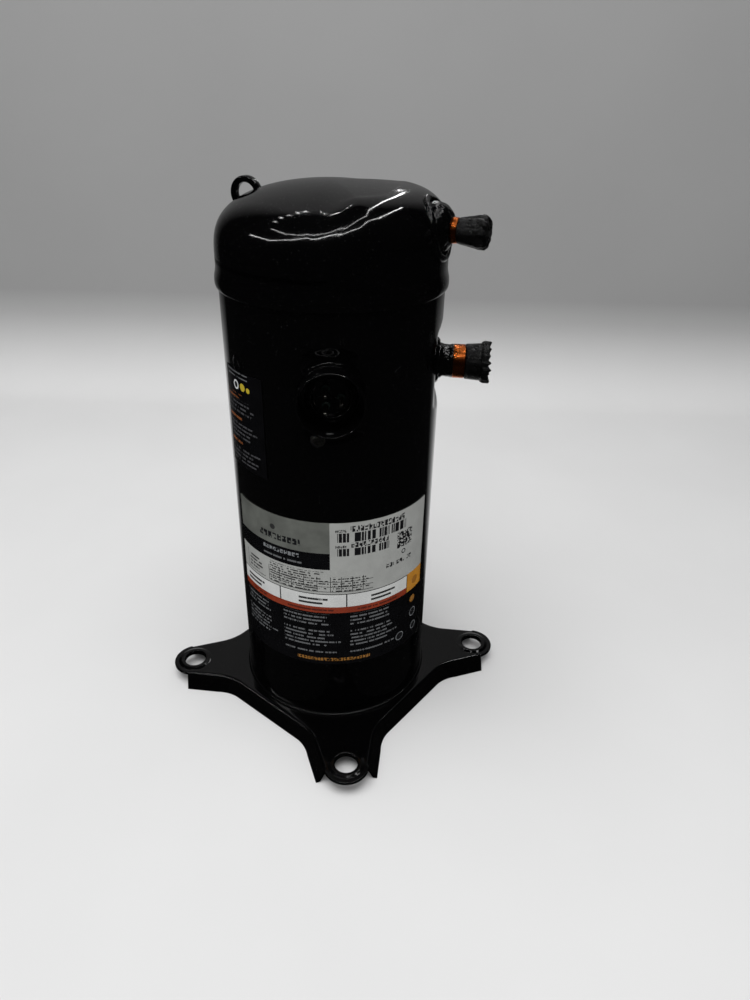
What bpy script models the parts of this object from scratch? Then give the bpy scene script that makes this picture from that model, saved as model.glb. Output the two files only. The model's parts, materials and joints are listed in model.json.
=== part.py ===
"""A hermetic scroll compressor, opened up as the assembly of pieces it is really made of.

The frame: +Z up, origin on the shaft axis at the level of the feet, X and Y along the
sides of the square of mounting holes. Sizes below are millimetres and MM turns them into
Blender's metres. An azimuth is an angle in degrees about +Z, from +X towards +Y.
"""

from math import acos, cos, pi, radians, sin, sqrt

import bmesh
import bpy
from mathutils import Matrix, Vector

MM = 0.001
GAP = 0.3                      # clearance between pieces that touch on the real machine

# Mounting base
HOLE_SQUARE = 190.5            # side of the square of mounting holes
HOLE_RADIUS = 9.5
BASE_TOP = 14.0
BASE_SIDE = 90.0               # half the width between two straight sides, at the top
BASE_FLARE, ARM_FLARE = 5.0, 7.5               # lean of the flange at the floor: sides, arms
BASE_TRIM = 3.0                # how much of the flange is trimmed off level with the floor
BASE_OPENING = 72.0
ARM_TIP_RADIUS = 19.2
ARM_TAPER = radians(12.6)
ARM_FILLET = 40.0
SHEET = 3.0

# Pressure shell and caps
SHELL_RADIUS = 81.7
WALL = 3.0
SHELL_BOTTOM = BASE_TOP + GAP
SHELL_TOP = 375.0
FLAT_DEPTH = 3.4               # how far the shell is pressed in behind each fitting
FLAT_FROM, FLAT_TO, FLAT_BLEND = 287.0, 339.0, 9.0
CAP_RADIUS = 82.6
CAP_TOP = 438.0
CAP_LOW_WALL, CAP_HIGH_WALL = 387.0, 406.2     # where the wall starts to bend inwards
CAP_HIGH_ROUND = 28.5                          # radius of that bend on the raised side
CAP_LIFTED = (49.0, 75.0)      # degrees from the discharge: all raised, and no longer raised
CAP_STEP = 379.0               # height of the shoulder that clamps the muffler plate
AROUND = 48                    # facets round the shell, the cap and the stator core
LARGE, MEDIUM, SMALL = 32, 24, 16      # facets round turned pieces, by size

# Fittings, each on its own radial line: azimuth in degrees and height
SUCTION_AT = (34.2, 314.0)
DISCHARGE_AT = (18.0, 412.4)
TERMINAL_AT = (-49.4, 312.0)
GROUND_AT = (-56.0, 281.5)
LIFT_AZIMUTH = -161.0
SUCTION_TUBE, SUCTION_END = 12.65, 100.0       # outer radius, and where the stub ends
SUCTION_BAND = 8.7                             # length of bare copper beyond the fitting
DISCHARGE_TUBE, DISCHARGE_END, DISCHARGE_BOSS = 8.1, 91.0, 17.2
TUBE_WALL = 1.1
PLUG_DEPTH = 6.5               # how far a plug reaches into its tube
PIN_CIRCLE, PIN_RADIUS = 7.0, 1.6
CUP_RADIUS, FENCE_INNER, FENCE_OUTER, FENCE_END = 18.1, 21.8, 23.4, 95.6

# Labels
LABEL_RADIUS, LABEL_THICKNESS = SHELL_RADIUS + GAP, 0.35
MAIN_LABEL = (-112.0, 12.0, 74.0, 213.5)        # azimuths, then heights
SIDE_LABEL = (-117.0, -85.0, 242.0, 319.0)

# Scroll set
ORBIT = 4.2                    # radius of the orbit, and throw of the crank pin
BASE_CIRCLE = 2.55             # radius of the circle that the wraps unwind from
WRAP_START, WRAP_END = 2.5, 18.0
WRAP_WALL = 3.3
WRAP_BOTTOM, WRAP_TOP = 324.5, 352.0
KEY_CIRCLE = 54.5
KEY_WIDTH, KEY_LENGTH = 8.0, 7.0
PILLARS = [-13.5 + 90 * k for k in range(4)]
PILLAR_CIRCLE = 71.0

# Shaft and motor
BORE_IN_SHELL = SHELL_RADIUS - WALL - GAP      # radius of what is pressed into the shell
STACK = (115.0, 195.0)
SLOTS, BARS = 24, 16
MAIN_JOURNAL, MOTOR_JOURNAL, LOWER_JOURNAL, CRANK_PIN = 15.0, 13.0, 9.0, 8.0

# Finishes: base colour, roughness, metallic
FINISHES = {
    "black_enamel": ((0.006, 0.006, 0.007), 0.16, 0.0),
    "black_rubber": ((0.012, 0.012, 0.012), 0.62, 0.0),
    "copper": ((0.75, 0.30, 0.12), 0.28, 1.0),
    "machined_steel": ((0.55, 0.56, 0.57), 0.30, 1.0),
    "plated_pin": ((0.62, 0.60, 0.55), 0.25, 1.0),
    "cast_iron": ((0.22, 0.22, 0.23), 0.55, 0.9),
    "silicon_steel": ((0.33, 0.34, 0.36), 0.45, 1.0),
    "aluminium": ((0.70, 0.71, 0.72), 0.38, 1.0),
    "bronze": ((0.60, 0.42, 0.20), 0.35, 1.0),
    "enamelled_copper": ((0.48, 0.16, 0.05), 0.40, 0.7),
    "seal_polymer": ((0.30, 0.17, 0.08), 0.55, 0.0),
    "moulded_black": ((0.02, 0.02, 0.02), 0.45, 0.0),
    "ferrite": ((0.10, 0.10, 0.11), 0.60, 0.3),
    "label_film": ((0.62, 0.62, 0.60), 0.35, 0.0),
}


# ---------------------------------------------------------------- scene and materials

def clear_scene():
    for obj in list(bpy.data.objects):
        bpy.data.objects.remove(obj, do_unlink=True)


def new_collection(name):
    collection = bpy.data.collections.new(name)
    bpy.context.scene.collection.children.link(collection)
    return collection


clear_scene()
PARTS = new_collection("scroll_compressor")
CUTTERS = new_collection("cutters")


def material_for(name, finish):
    colour, roughness, metallic = FINISHES[finish]
    material = bpy.data.materials.new(f"{name}_{finish}")
    material.use_nodes = True
    shader = material.node_tree.nodes["Principled BSDF"]
    shader.inputs["Base Color"].default_value = (*colour, 1.0)
    shader.inputs["Roughness"].default_value = roughness
    shader.inputs["Metallic"].default_value = metallic
    return material


def part(obj, finish):
    """Makes this shape one of the pieces of the machine."""
    PARTS.objects.link(obj)
    if not obj.data.materials:
        obj.data.materials.append(material_for(obj.name, finish))
    if obj.type == "MESH":
        obj.data.shade_smooth()
        obj.data.set_sharp_from_angle(angle=radians(32))
    return obj


def combine(target, tool, operation):
    """Joins a tool shape to a target, or cuts it from the target."""
    tool.hide_render = True
    tool.display_type = "WIRE"
    if tool.name not in CUTTERS.objects:
        CUTTERS.objects.link(tool)
    modifier = target.modifiers.new(f"{operation.lower()}_{tool.name}", "BOOLEAN")
    modifier.operation = operation
    modifier.object = tool


def cut(target, *tools):
    for tool in tools:
        combine(target, tool, "DIFFERENCE")


def join(target, *tools):
    for tool in tools:
        combine(target, tool, "UNION")


# ---------------------------------------------------------------- places

UPRIGHT = Matrix.Identity(4)


def at(x, y, z=0.0, turn=0.0):
    """An upright place, turned about its own vertical by an angle in degrees."""
    return Matrix.Translation(Vector((x, y, z)) * MM) @ Matrix.Rotation(radians(turn), 4, "Z")


def around(azimuth, radius=0.0, z=0.0):
    """An upright place on a circle about the shaft, its local X pointing outwards."""
    angle = radians(azimuth)
    return at(radius * cos(angle), radius * sin(angle), z, azimuth)


def radial(azimuth, z):
    """A place on the shaft axis whose local Z points outwards, so local z is a radius."""
    return around(azimuth, 0.0, z) @ Matrix.Rotation(pi / 2, 4, "Y")


# ---------------------------------------------------------------- shapes

def shape(name, data, place=UPRIGHT):
    obj = bpy.data.objects.new(name, data)
    obj.matrix_world = place
    return obj


def from_bmesh(name, bm, place=UPRIGHT):
    mesh = bpy.data.meshes.new(name)
    bm.to_mesh(mesh)
    bm.free()
    return shape(name, mesh, place)


def add_screw(obj, steps, sweep=2 * pi):
    screw = obj.modifiers.new("turn", "SCREW")
    screw.angle = sweep
    screw.steps = screw.render_steps = steps
    screw.use_merge_vertices = sweep > 6.28
    screw.merge_threshold = 0.00001
    screw.use_smooth_shade = True


def turned(name, profile, steps=MEDIUM, place=UPRIGHT):
    """A turned solid. The profile is its half section, (radius, height) points in order.

    A profile with both ends on the axis is left open there; any other is a closed loop.
    """
    area = sum(
        r0 * z1 - r1 * z0 for (r0, z0), (r1, z1) in zip(profile, profile[1:] + profile[:1])
    )
    if area > 0:
        profile = profile[::-1]
    bm = bmesh.new()
    points = [bm.verts.new((r * MM, 0, z * MM)) for r, z in profile]
    for first, second in zip(points, points[1:]):
        bm.edges.new((first, second))
    if profile[0][0] > 0 or profile[-1][0] > 0:
        bm.edges.new((points[-1], points[0]))
    obj = from_bmesh(name, bm, place)
    add_screw(obj, steps)
    return obj


def ring(name, inner, outer, bottom, top, steps=MEDIUM, place=UPRIGHT):
    return turned(name, [(outer, top), (outer, bottom), (inner, bottom), (inner, top)], steps, place)


def rod(name, radius, bottom, top, sides=SMALL, place=UPRIGHT):
    bm = bmesh.new()
    bmesh.ops.create_cone(
        bm, cap_ends=True, segments=sides, radius1=radius * MM, radius2=radius * MM,
        depth=(top - bottom) * MM,
        matrix=Matrix.Translation((0, 0, (top + bottom) / 2 * MM)),
    )
    return from_bmesh(name, bm, place)


def add_box(bm, low, high, place=UPRIGHT):
    size = Vector(high) - Vector(low)
    centre = (Vector(high) + Vector(low)) / 2
    spot = place @ Matrix.Translation(centre * MM) @ Matrix.Diagonal((*(size * MM), 1))
    bmesh.ops.create_cube(bm, size=1.0, matrix=spot)


def box(name, low, high, place=UPRIGHT):
    bm = bmesh.new()
    add_box(bm, low, high)
    return from_bmesh(name, bm, place)


def circle(radius, count, centre=(0.0, 0.0)):
    return [
        (centre[0] + radius * cos(2 * pi * i / count), centre[1] + radius * sin(2 * pi * i / count))
        for i in range(count)
    ]


def arc(radius, start, end, count, centre=(0.0, 0.0)):
    """Points along an arc, from one angle to another in radians."""
    return [
        (
            centre[0] + radius * cos(start + (end - start) * i / (count - 1)),
            centre[1] + radius * sin(start + (end - start) * i / (count - 1)),
        )
        for i in range(count)
    ]


def as_mesh(obj):
    """The curve object turned into a welded mesh object of the same name and place."""
    place = obj.matrix_world.copy()
    name = obj.name
    bpy.context.scene.collection.objects.link(obj)
    bpy.context.view_layer.update()
    graph = bpy.context.evaluated_depsgraph_get()
    mesh = bpy.data.meshes.new_from_object(obj.evaluated_get(graph))
    bpy.data.objects.remove(obj, do_unlink=True)
    bm = bmesh.new()
    bm.from_mesh(mesh)
    bmesh.ops.remove_doubles(bm, verts=bm.verts, dist=0.000002)
    bm.to_mesh(mesh)
    bm.free()
    mesh.materials.clear()
    return shape(name, mesh, place)


def plate(name, outlines, bottom, top, place=UPRIGHT):
    """A flat piece of even thickness. The first outline is its edge, the rest are holes."""
    curve = bpy.data.curves.new(name, "CURVE")
    curve.dimensions = "2D"
    curve.fill_mode = "BOTH"
    curve.extrude = (top - bottom) / 2 * MM
    for outline in outlines:
        spline = curve.splines.new("POLY")
        spline.points.add(len(outline) - 1)
        for point, (x, y) in zip(spline.points, outline):
            point.co = (x * MM, y * MM, 0, 1)
        spline.use_cyclic_u = True
    middle = Matrix.Translation((0, 0, (top + bottom) / 2 * MM))
    return as_mesh(shape(name, curve, place @ middle))


def wire(name, path, radius, place=UPRIGHT):
    curve = bpy.data.curves.new(name, "CURVE")
    curve.dimensions = "3D"
    curve.bevel_depth = radius * MM
    curve.bevel_resolution = 2
    curve.use_fill_caps = True
    spline = curve.splines.new("POLY")
    spline.points.add(len(path) - 1)
    for point, xyz in zip(spline.points, path):
        point.co = (*(Vector(xyz) * MM), 1)
    return as_mesh(shape(name, curve, place))


def lofted(name, rings, poles=False):
    """A skin over rings of equal count. It ends in two poles, or closes on its first ring."""
    bm = bmesh.new()
    rows = [[bm.verts.new(Vector(p) * MM) for p in points] for points in rings]
    count = len(rows[0])
    pairs = list(zip(rows, rows[1:]))
    if not poles:
        pairs.append((rows[-1], rows[0]))
    for upper, lower in pairs:
        for i in range(count):
            j = (i + 1) % count
            bm.faces.new((upper[i], upper[j], lower[j], lower[i]))
    if poles:
        for row in (rows[0], rows[-1]):
            bmesh.ops.holes_fill(bm, edges=[e for e in bm.edges if e.is_boundary
                                            and e.verts[0] in row and e.verts[1] in row])
    bmesh.ops.recalc_face_normals(bm, faces=bm.faces)
    return from_bmesh(name, bm)


def smooth_step(value, low, high):
    t = min(max((value - low) / (high - low), 0.0), 1.0)
    return t * t * (3 - 2 * t)


def angle_apart(a, b):
    return abs((a - b + 180) % 360 - 180)


# ---------------------------------------------------------------- mounting base

def base_quarter():
    """The base's edge round the +X+Y arm: points, their outward directions, and how far the
    flange there leans out, or None where none hangs. It starts on the +X side and ends on the +Y side."""
    hole = HOLE_SQUARE / 2
    lean = pi / 4 + ARM_TAPER                              # direction of the arm's flank
    out = Vector((sin(lean), -cos(lean)))
    touch = Vector((hole, hole)) + out * ARM_TIP_RADIUS
    along = Vector((cos(lean), sin(lean)))
    corner = touch - along * ((touch.x - BASE_SIDE) / along.x)
    turn = pi / 2 - lean
    centre = corner + Vector((ARM_FILLET, -ARM_FILLET * (1 - cos(turn)) / sin(turn)))
    half = []
    for i in range(5):
        angle = pi - turn * i / 4
        spot = centre + ARM_FILLET * Vector((cos(angle), sin(angle)))
        flare = BASE_FLARE + (ARM_FLARE - BASE_FLARE) * i / 4
        half.append((spot, Vector((-cos(angle), -sin(angle))), flare))
    half.append((touch, out, ARM_FLARE))
    tip = []
    steps = 12
    first = lean - pi / 2
    for i in range(1, steps):
        angle = first + (pi / 2 - 2 * first) * i / steps
        direction = Vector((cos(angle), sin(angle)))
        tip.append((Vector((hole, hole)) + direction * ARM_TIP_RADIUS, direction, None))
    mirrored = [(Vector((p.y, p.x)), Vector((n.y, n.x)), f) for p, n, f in half[::-1]]
    return half + tip + mirrored


def mounting_base():
    edge = []
    for k in range(4):
        turn = Matrix.Rotation(k * pi / 2, 2)
        edge += [(turn @ p, turn @ n, f) for p, n, f in base_quarter()]
    bm = bmesh.new()
    top = [bm.verts.new((p.x * MM, p.y * MM, BASE_TOP * MM)) for p, _, _ in edge]
    bm.faces.new(top)
    foot = {}
    for i, (p, n, flare) in enumerate(edge):
        if flare:
            spot = p + n * flare * (BASE_TOP + BASE_TRIM) / BASE_TOP
            foot[i] = bm.verts.new((spot.x * MM, spot.y * MM, -BASE_TRIM * MM))
    for i in range(len(edge)):
        j = (i + 1) % len(edge)
        if i in foot and j in foot:
            bm.faces.new((top[i], foot[i], foot[j], top[j]))
    bmesh.ops.recalc_face_normals(bm, faces=bm.faces)
    if sum(f.normal.z for f in bm.faces) < 0:
        bmesh.ops.reverse_faces(bm, faces=bm.faces)
    base = from_bmesh("mounting_base", bm)
    sheet = base.modifiers.new("sheet", "SOLIDIFY")
    sheet.thickness = SHEET * MM
    sheet.offset = -1
    sheet.use_even_offset = True
    base = part(base, "black_enamel")
    cut(base, box("floor_trim", (-150, -150, -20), (150, 150, 0)))
    cut(base, rod("base_opening", BASE_OPENING, -5, BASE_TOP + 5, 48))
    for k in range(4):
        spot = around(45 + 90 * k, HOLE_SQUARE / sqrt(2))
        cut(base, rod(f"base_hole_{k}", HOLE_RADIUS, -5, BASE_TOP + 5, 24, spot))


# ---------------------------------------------------------------- pressure vessel

def shell_radius_at(azimuth, z, outer):
    """The shell is round, with a pressed flat behind the suction fitting and the terminal."""
    pressed = smooth_step(z, FLAT_FROM - FLAT_BLEND, FLAT_FROM)
    pressed *= 1 - smooth_step(z, FLAT_TO, FLAT_TO + FLAT_BLEND)
    plane = outer - FLAT_DEPTH * pressed
    for fitting in (SUCTION_AT, TERMINAL_AT):
        apart = radians(angle_apart(azimuth, fitting[0]))
        if apart < acos(plane / outer):
            return plane / cos(apart)
    return outer


def ring_of(radius_at, z_at, count=AROUND):
    points = []
    for i in range(count):
        azimuth = 360 * i / count
        angle = radians(azimuth)
        radius = radius_at(azimuth)
        points.append((radius * cos(angle), radius * sin(angle), z_at(azimuth)))
    return points


def shell():
    heights = [SHELL_BOTTOM, FLAT_FROM - FLAT_BLEND, FLAT_FROM - FLAT_BLEND / 2, FLAT_FROM,
               FLAT_TO, FLAT_TO + FLAT_BLEND / 2, FLAT_TO + FLAT_BLEND, SHELL_TOP]
    rings = [
        ring_of(lambda a, z=z: shell_radius_at(a, z, SHELL_RADIUS), lambda a, z=z: z)
        for z in heights
    ]
    rings += [
        ring_of(lambda a, z=z: shell_radius_at(a, z, SHELL_RADIUS) - WALL, lambda a, z=z: z)
        for z in heights[::-1]
    ]
    body = part(lofted("shell", rings), "black_enamel")
    cut(
        body,
        rod("suction_hole", 11.9, 60, 95, SMALL, radial(*SUCTION_AT)),
        rod("terminal_hole", CUP_RADIUS + 0.4, 60, 95, SMALL, radial(*TERMINAL_AT)),
    )


def bottom_cap():
    outside = [(BORE_IN_SHELL, 40), (BORE_IN_SHELL, 24), (75.5, 17.6), (64, 12), (40, 6.4), (0, 4.8)]
    inside = [(0, 7.8), (39.4, 9.4), (62.8, 14.9), (73, 20), (BORE_IN_SHELL - WALL, 25),
              (BORE_IN_SHELL - WALL, 40)]
    part(turned("bottom_cap", outside + inside, LARGE), "black_enamel")


def cap_lift(azimuth):
    """1 over the raised side of the cap, where the discharge leaves, and 0 round the rest."""
    return 1 - smooth_step(angle_apart(azimuth, DISCHARGE_AT[0]), *CAP_LIFTED)


def cap_dome(azimuth, s, inset=0.0):
    """Radius and height of the cap's skin: s is 0 at the top of its wall, 1 at its centre."""
    lift = cap_lift(azimuth)
    low_r = (CAP_RADIUS - inset) * cos(s * pi / 2)
    low_z = CAP_LOW_WALL + (CAP_TOP - CAP_LOW_WALL - inset) * sin(s * pi / 2) ** 0.61
    bend = min(s / 0.5, 1.0) * pi / 2
    out = min((1 - s) / 0.5, 1.0)
    shoulder, crown = CAP_RADIUS - CAP_HIGH_ROUND, CAP_TOP - CAP_HIGH_WALL - CAP_HIGH_ROUND
    high_r = shoulder * out + (CAP_HIGH_ROUND - inset) * cos(bend)
    high_z = CAP_HIGH_WALL + (CAP_HIGH_ROUND - inset) * sin(bend) + crown * (1 - out ** 2)
    return low_r + (high_r - low_r) * lift, low_z + (high_z - low_z) * lift


def cap_height(azimuth, radius):
    """Height of the cap's outer skin at a radius, found by halving."""
    wall, centre = 0.0, 1.0
    for _ in range(30):
        middle = (wall + centre) / 2
        if cap_dome(azimuth, middle)[0] > radius:
            wall = middle
        else:
            centre = middle
    return cap_dome(azimuth, centre)[1]


def top_cap():
    stations = [0.0, 0.04, 0.12, 0.22, 0.34, 0.48, 0.7, 0.88]
    lip = [(83.5, 370.0), (84.1, 372.0), (84.1, 376.0), (CAP_RADIUS, 384.0)]
    inside_lip = [(CAP_RADIUS - WALL, CAP_STEP), (81.95, CAP_STEP), (81.95, 370.0)]
    rings = []
    for s in stations[::-1]:
        rings.append(ring_of(lambda a: cap_dome(a, s)[0], lambda a: cap_dome(a, s)[1]))
    for r, z in lip[::-1] + inside_lip[::-1]:
        rings.append(ring_of(lambda a: r, lambda a: z))
    for s in stations[::2]:
        rings.append(ring_of(lambda a: cap_dome(a, s, WALL)[0], lambda a: cap_dome(a, s, WALL)[1]))
    body = part(lofted("top_cap", rings, poles=True), "black_enamel")
    hole = DISCHARGE_BOSS + GAP
    cut(body, rod("discharge_hole", hole, 40, 95, MEDIUM, radial(*DISCHARGE_AT)))


def muffler_plate():
    rim = SHELL_RADIUS - 0.1
    profile = [(rim, 378.7), (77, 378.9), (68, 384), (9, 384), (9, 379.2), (66, 379.2),
               (74, SHELL_TOP + GAP), (rim, SHELL_TOP + GAP)]
    body = part(turned("muffler_plate", profile, LARGE), "machined_steel")
    cut(body, rod("relief_hole", 5.4, 370, 390, 16, around(120, 54)))


def lifting_ring():
    """A strap bent to a loop in the radial plane, its two feet on the slope of the cap."""
    lean, thickness, outer, inner = radians(25), 6.0, 11.8, 7.3
    axis = Vector((sin(lean), cos(lean)))
    across = Vector((cos(lean), -sin(lean)))
    head = Vector((65.8, 425.0))

    def foot(side):
        start = head + across * side
        low, high = 0.0, 25.0
        for _ in range(40):
            middle = (low + high) / 2
            spot = start - axis * middle
            if spot.y > cap_height(LIFT_AZIMUTH, spot.x) + GAP:
                low = middle
            else:
                high = middle
        return start - axis * low

    def loop(radius):
        return [
            tuple(head + across * (radius * cos(a)) + axis * (radius * sin(a)))
            for a in [pi * i / 10 for i in range(11)]
        ]

    outline = [tuple(foot(outer))] + loop(outer) + [tuple(foot(-outer))]
    outline += [tuple(foot(-inner))] + loop(inner)[::-1] + [tuple(foot(inner))]
    stand = around(LIFT_AZIMUTH) @ Matrix.Rotation(pi / 2, 4, "X")
    part(plate("lifting_ring", [outline], -thickness / 2, thickness / 2, stand), "black_enamel")


# ---------------------------------------------------------------- fittings

def stub_and_plug(name, tube, end, stub_inside, plug_head, place):
    """The copper stub of a fitting, and the rubber plug that closes its end.

    Every height in the profiles is a distance from the shaft axis. The stub's profile is
    given up to its inner end, and the plug's outside its tube.
    """
    bore = tube - TUBE_WALL
    stub = [(bore, end), (tube, end)] + stub_inside
    part(turned(f"{name}_stub", stub, SMALL, place), "copper")
    snug = bore - GAP
    plug = [(0, end - PLUG_DEPTH), (snug - 0.6, end - PLUG_DEPTH), (snug, end - PLUG_DEPTH + 2),
            (snug, end + GAP)] + plug_head
    part(turned(f"{name}_plug", plug, SMALL, place), "black_rubber")


def suction():
    place = radial(*SUCTION_AT)
    flat = SHELL_RADIUS - FLAT_DEPTH + GAP
    shoulder = SUCTION_END - SUCTION_BAND
    spigot, tail = 10.8, shoulder - 7
    neck = [(11.5, 72), (11.5, flat), (13.35, flat), (13.35, flat + 3.4), (12, flat + 5),
            (12, 88), (SUCTION_TUBE, shoulder - GAP), (spigot + GAP, shoulder - GAP),
            (spigot + GAP, 72)]
    part(turned("suction_fitting", neck, SMALL, place), "black_enamel")
    stub = [(SUCTION_TUBE, shoulder), (spigot, shoulder), (spigot, tail), (spigot - 1, tail),
            (spigot - 1, shoulder + 1.2), (SUCTION_TUBE - TUBE_WALL, shoulder + 1.2)]
    plug = [(12.9, SUCTION_END + GAP), (13.9, 112.4), (15.2, 112.8), (15.3, 117.4), (14.4, 118.1),
            (0, 118.1)]
    stub_and_plug("suction", SUCTION_TUBE, SUCTION_END, stub, plug, place)


def discharge():
    place = radial(*DISCHARGE_AT)
    bore = DISCHARGE_TUBE + GAP
    wide = DISCHARGE_BOSS
    boss = [(wide, 66), (wide, 82.6), (wide - 0.6, 84.2), (wide - 2.2, 85.4), (bore, 85.4),
            (bore, 79.6), (6.8, 79.6), (6.8, 66)]
    part(turned("discharge_fitting", boss, SMALL, place), "black_enamel")
    stub = [(DISCHARGE_TUBE, 80), (DISCHARGE_TUBE - TUBE_WALL, 80)]
    plug = [(8.3, DISCHARGE_END + GAP), (10.4, 105.5), (10.7, 108.5), (9.2, 111.6), (0, 112.4)]
    stub_and_plug("discharge", DISCHARGE_TUBE, DISCHARGE_END, stub, plug, place)


def terminal():
    place = radial(*TERMINAL_AT)
    cup = [(CUP_RADIUS, 72.5), (CUP_RADIUS, 80.5), (13.3, 82), (13.3, 78), (0, 78), (0, 72.5)]
    body = part(turned("terminal_body", cup, SMALL, place), "black_enamel")
    for k in range(3):
        angle = radians(90 + 120 * k)
        spot = place @ at(PIN_CIRCLE * cos(angle), PIN_CIRCLE * sin(angle))
        cut(body, rod(f"pin_hole_{k + 1}", PIN_RADIUS + GAP, 60, 95, 12, spot))
        pin = [(0, 66), (PIN_RADIUS, 66), (PIN_RADIUS, 93), (PIN_RADIUS - 0.7, 94), (0, 94)]
        part(turned(f"terminal_pin_{k + 1}", pin, 12, spot), "plated_pin")
    floor = SHELL_RADIUS - FLAT_DEPTH + GAP
    fence = [(FENCE_INNER, floor), (FENCE_OUTER, floor), (FENCE_OUTER, FENCE_END - 0.6),
             (FENCE_OUTER - 0.6, FENCE_END), (FENCE_INNER, FENCE_END)]
    part(turned("terminal_fence", fence, MEDIUM, place), "black_enamel")
    screw = [(0, 71), (2.2, 71), (2.2, 82.2), (4.9, 82.2), (4.9, 84.8), (4.1, 85.6), (0, 85.6)]
    part(turned("ground_screw", screw, 12, radial(*GROUND_AT)), "machined_steel")
    cut(bpy.data.objects["shell"], rod("ground_hole", 2.5, 60, 95, 12, radial(*GROUND_AT)))
    leads = box("lead_harness", (-12, -12, 63), (12, 12, 71.8), place)
    for k in range(3):
        angle = radians(90 + 120 * k)
        spot = place @ at(PIN_CIRCLE * cos(angle), PIN_CIRCLE * sin(angle))
        cut(leads, rod(f"lead_socket_{k + 1}", PIN_RADIUS + GAP, 65.7, 80, 12, spot))
    for k in (-1, 0, 1):
        side = 7.0 * k
        path = [(66.5, side, 303), (66.5, side, 262), (63, side, 246), (58, side, 232),
                (56, side, STACK[1] + 30.6)]
        join(leads, wire(f"lead_{k + 2}", path, 1.8, around(TERMINAL_AT[0])))
    part(leads, "moulded_black")


def labels():
    for name, (first, last, low, high) in (
        ("nameplate_label", MAIN_LABEL),
        ("side_label", SIDE_LABEL),
    ):
        bm = bmesh.new()
        ends = [bm.verts.new((LABEL_RADIUS * MM, 0, z * MM)) for z in (high, low)]
        bm.edges.new(ends)
        label = from_bmesh(name, bm, at(0, 0, 0, first))
        add_screw(label, round((last - first) / 5), radians(last - first))
        film = label.modifiers.new("film", "SOLIDIFY")
        film.thickness = LABEL_THICKNESS * MM
        film.offset = 1
        part(label, "label_film")


# ---------------------------------------------------------------- scroll set

def wrap_outline():
    """The flat outline of one spiral wall, with both flanks involutes of the base circle."""
    half = WRAP_WALL / 2 / BASE_CIRCLE
    steps = 52

    def flank(shift):
        points = []
        for i in range(steps + 1):
            # equal steps of angle squared give facets of even length along the spiral
            t = sqrt(WRAP_START**2 + (WRAP_END**2 - WRAP_START**2) * i / steps)
            points.append((
                BASE_CIRCLE * (cos(t) + (t + shift) * sin(t)),
                BASE_CIRCLE * (sin(t) - (t + shift) * cos(t)),
            ))
        return points

    return flank(half) + flank(-half)[::-1]


def orbiting_scroll():
    centre = at(ORBIT, 0)
    body = rod("orbiting_scroll", 52, 314, WRAP_BOTTOM, LARGE, centre)
    ears = box("scroll_ears", (-11, -57, 314), (11, 57, WRAP_BOTTOM - 0.5), centre)
    join(body, ears)
    join(body, ring("scroll_hub", 15.3, 19, 300, 315, SMALL, centre))
    join(body, plate("orbiting_wrap", [wrap_outline()], WRAP_BOTTOM - 1, WRAP_TOP - GAP,
                     at(ORBIT, 0, 0, 180)))
    slot = KEY_WIDTH / 2 + GAP
    for side in (0, 180):
        reach = around(90 + side)
        cut(body, box(f"scroll_slot_{side}", (45.8, -slot, 313), (66, slot, 319.6), centre @ reach))
    part(body, "cast_iron")
    part(ring("drive_bearing", 12.6, 15, 301, 312.5, SMALL, centre), "bronze")
    part(ring("drive_bushing", CRANK_PIN + GAP, 12.3, 300.5, 312.8, SMALL, centre), "machined_steel")


def oldham_coupling():
    centre = at(ORBIT, 0)
    part(ring("oldham_ring", 51, 58, 306.3, 313.2, LARGE, centre), "aluminium")
    half_width, half_length = KEY_WIDTH / 2, KEY_LENGTH / 2
    for k in range(4):
        low, high = (300.6, 306) if k % 2 == 0 else (313.5, 319)
        place = centre @ around(90 * k)
        key = box(
            f"oldham_key_{k + 1}",
            (KEY_CIRCLE - half_length, -half_width, low),
            (KEY_CIRCLE + half_length, half_width, high),
            place,
        )
        part(key, "aluminium")


def non_orbiting_scroll():
    profile = [(62, WRAP_TOP), (62, 364), (42, 364), (42, 374), (37, 374), (37, 365), (14, 365),
               (14, 374), (4.5, 374), (4.5, WRAP_TOP), (53.8, WRAP_TOP), (53.8, 325.2),
               (59.5, 325.2), (59.5, WRAP_TOP)]
    body = turned("non_orbiting_scroll", profile, LARGE)
    join(body, plate("fixed_wrap", [wrap_outline()], WRAP_BOTTOM + GAP, WRAP_TOP + 1))
    for k, azimuth in enumerate(PILLARS):
        place = around(azimuth)
        join(body, box(f"scroll_ear_{k}", (58, -9, WRAP_TOP + 0.4), (77, 9, 363), place))
        cut(body, rod(f"ear_hole_{k}", 4.3, 340, 370, 16, around(azimuth, PILLAR_CIRCLE)))
    for azimuth in (34, 214):
        cut(body, box(f"inlet_{azimuth}", (50, -15, 327), (64, 15, 350), around(azimuth)))
    part(body, "cast_iron")


def floating_seal():
    base = [(36.2, 366.5), (36.2, 370), (14.7, 370), (14.7, 366.5)]
    top = [(36.2, 372.6), (36.2, 374.6), (22, 374.6), (21, 377.4), (16, 377.4), (14.7, 374.6),
           (14.7, 372.6)]
    part(turned("floating_seal_base", base), "cast_iron")
    part(turned("floating_seal_top", top), "cast_iron")
    part(ring("seal_lip_inner", 14.6, 19, 370.3, 372.3), "seal_polymer")
    part(ring("seal_lip_outer", 31.5, 36.4, 370.3, 372.3), "seal_polymer")


def guide_bolts():
    for k, azimuth in enumerate(PILLARS):
        bolt = [(0, 338), (3, 338), (3, 352.2), (4, 352.2), (4, 365.2), (7.2, 365.2), (7.2, 371.5),
                (0, 371.5)]
        part(turned(f"guide_bolt_{k + 1}", bolt, 12, around(azimuth, PILLAR_CIRCLE)),
             "machined_steel")


# ---------------------------------------------------------------- valves and guards

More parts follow.
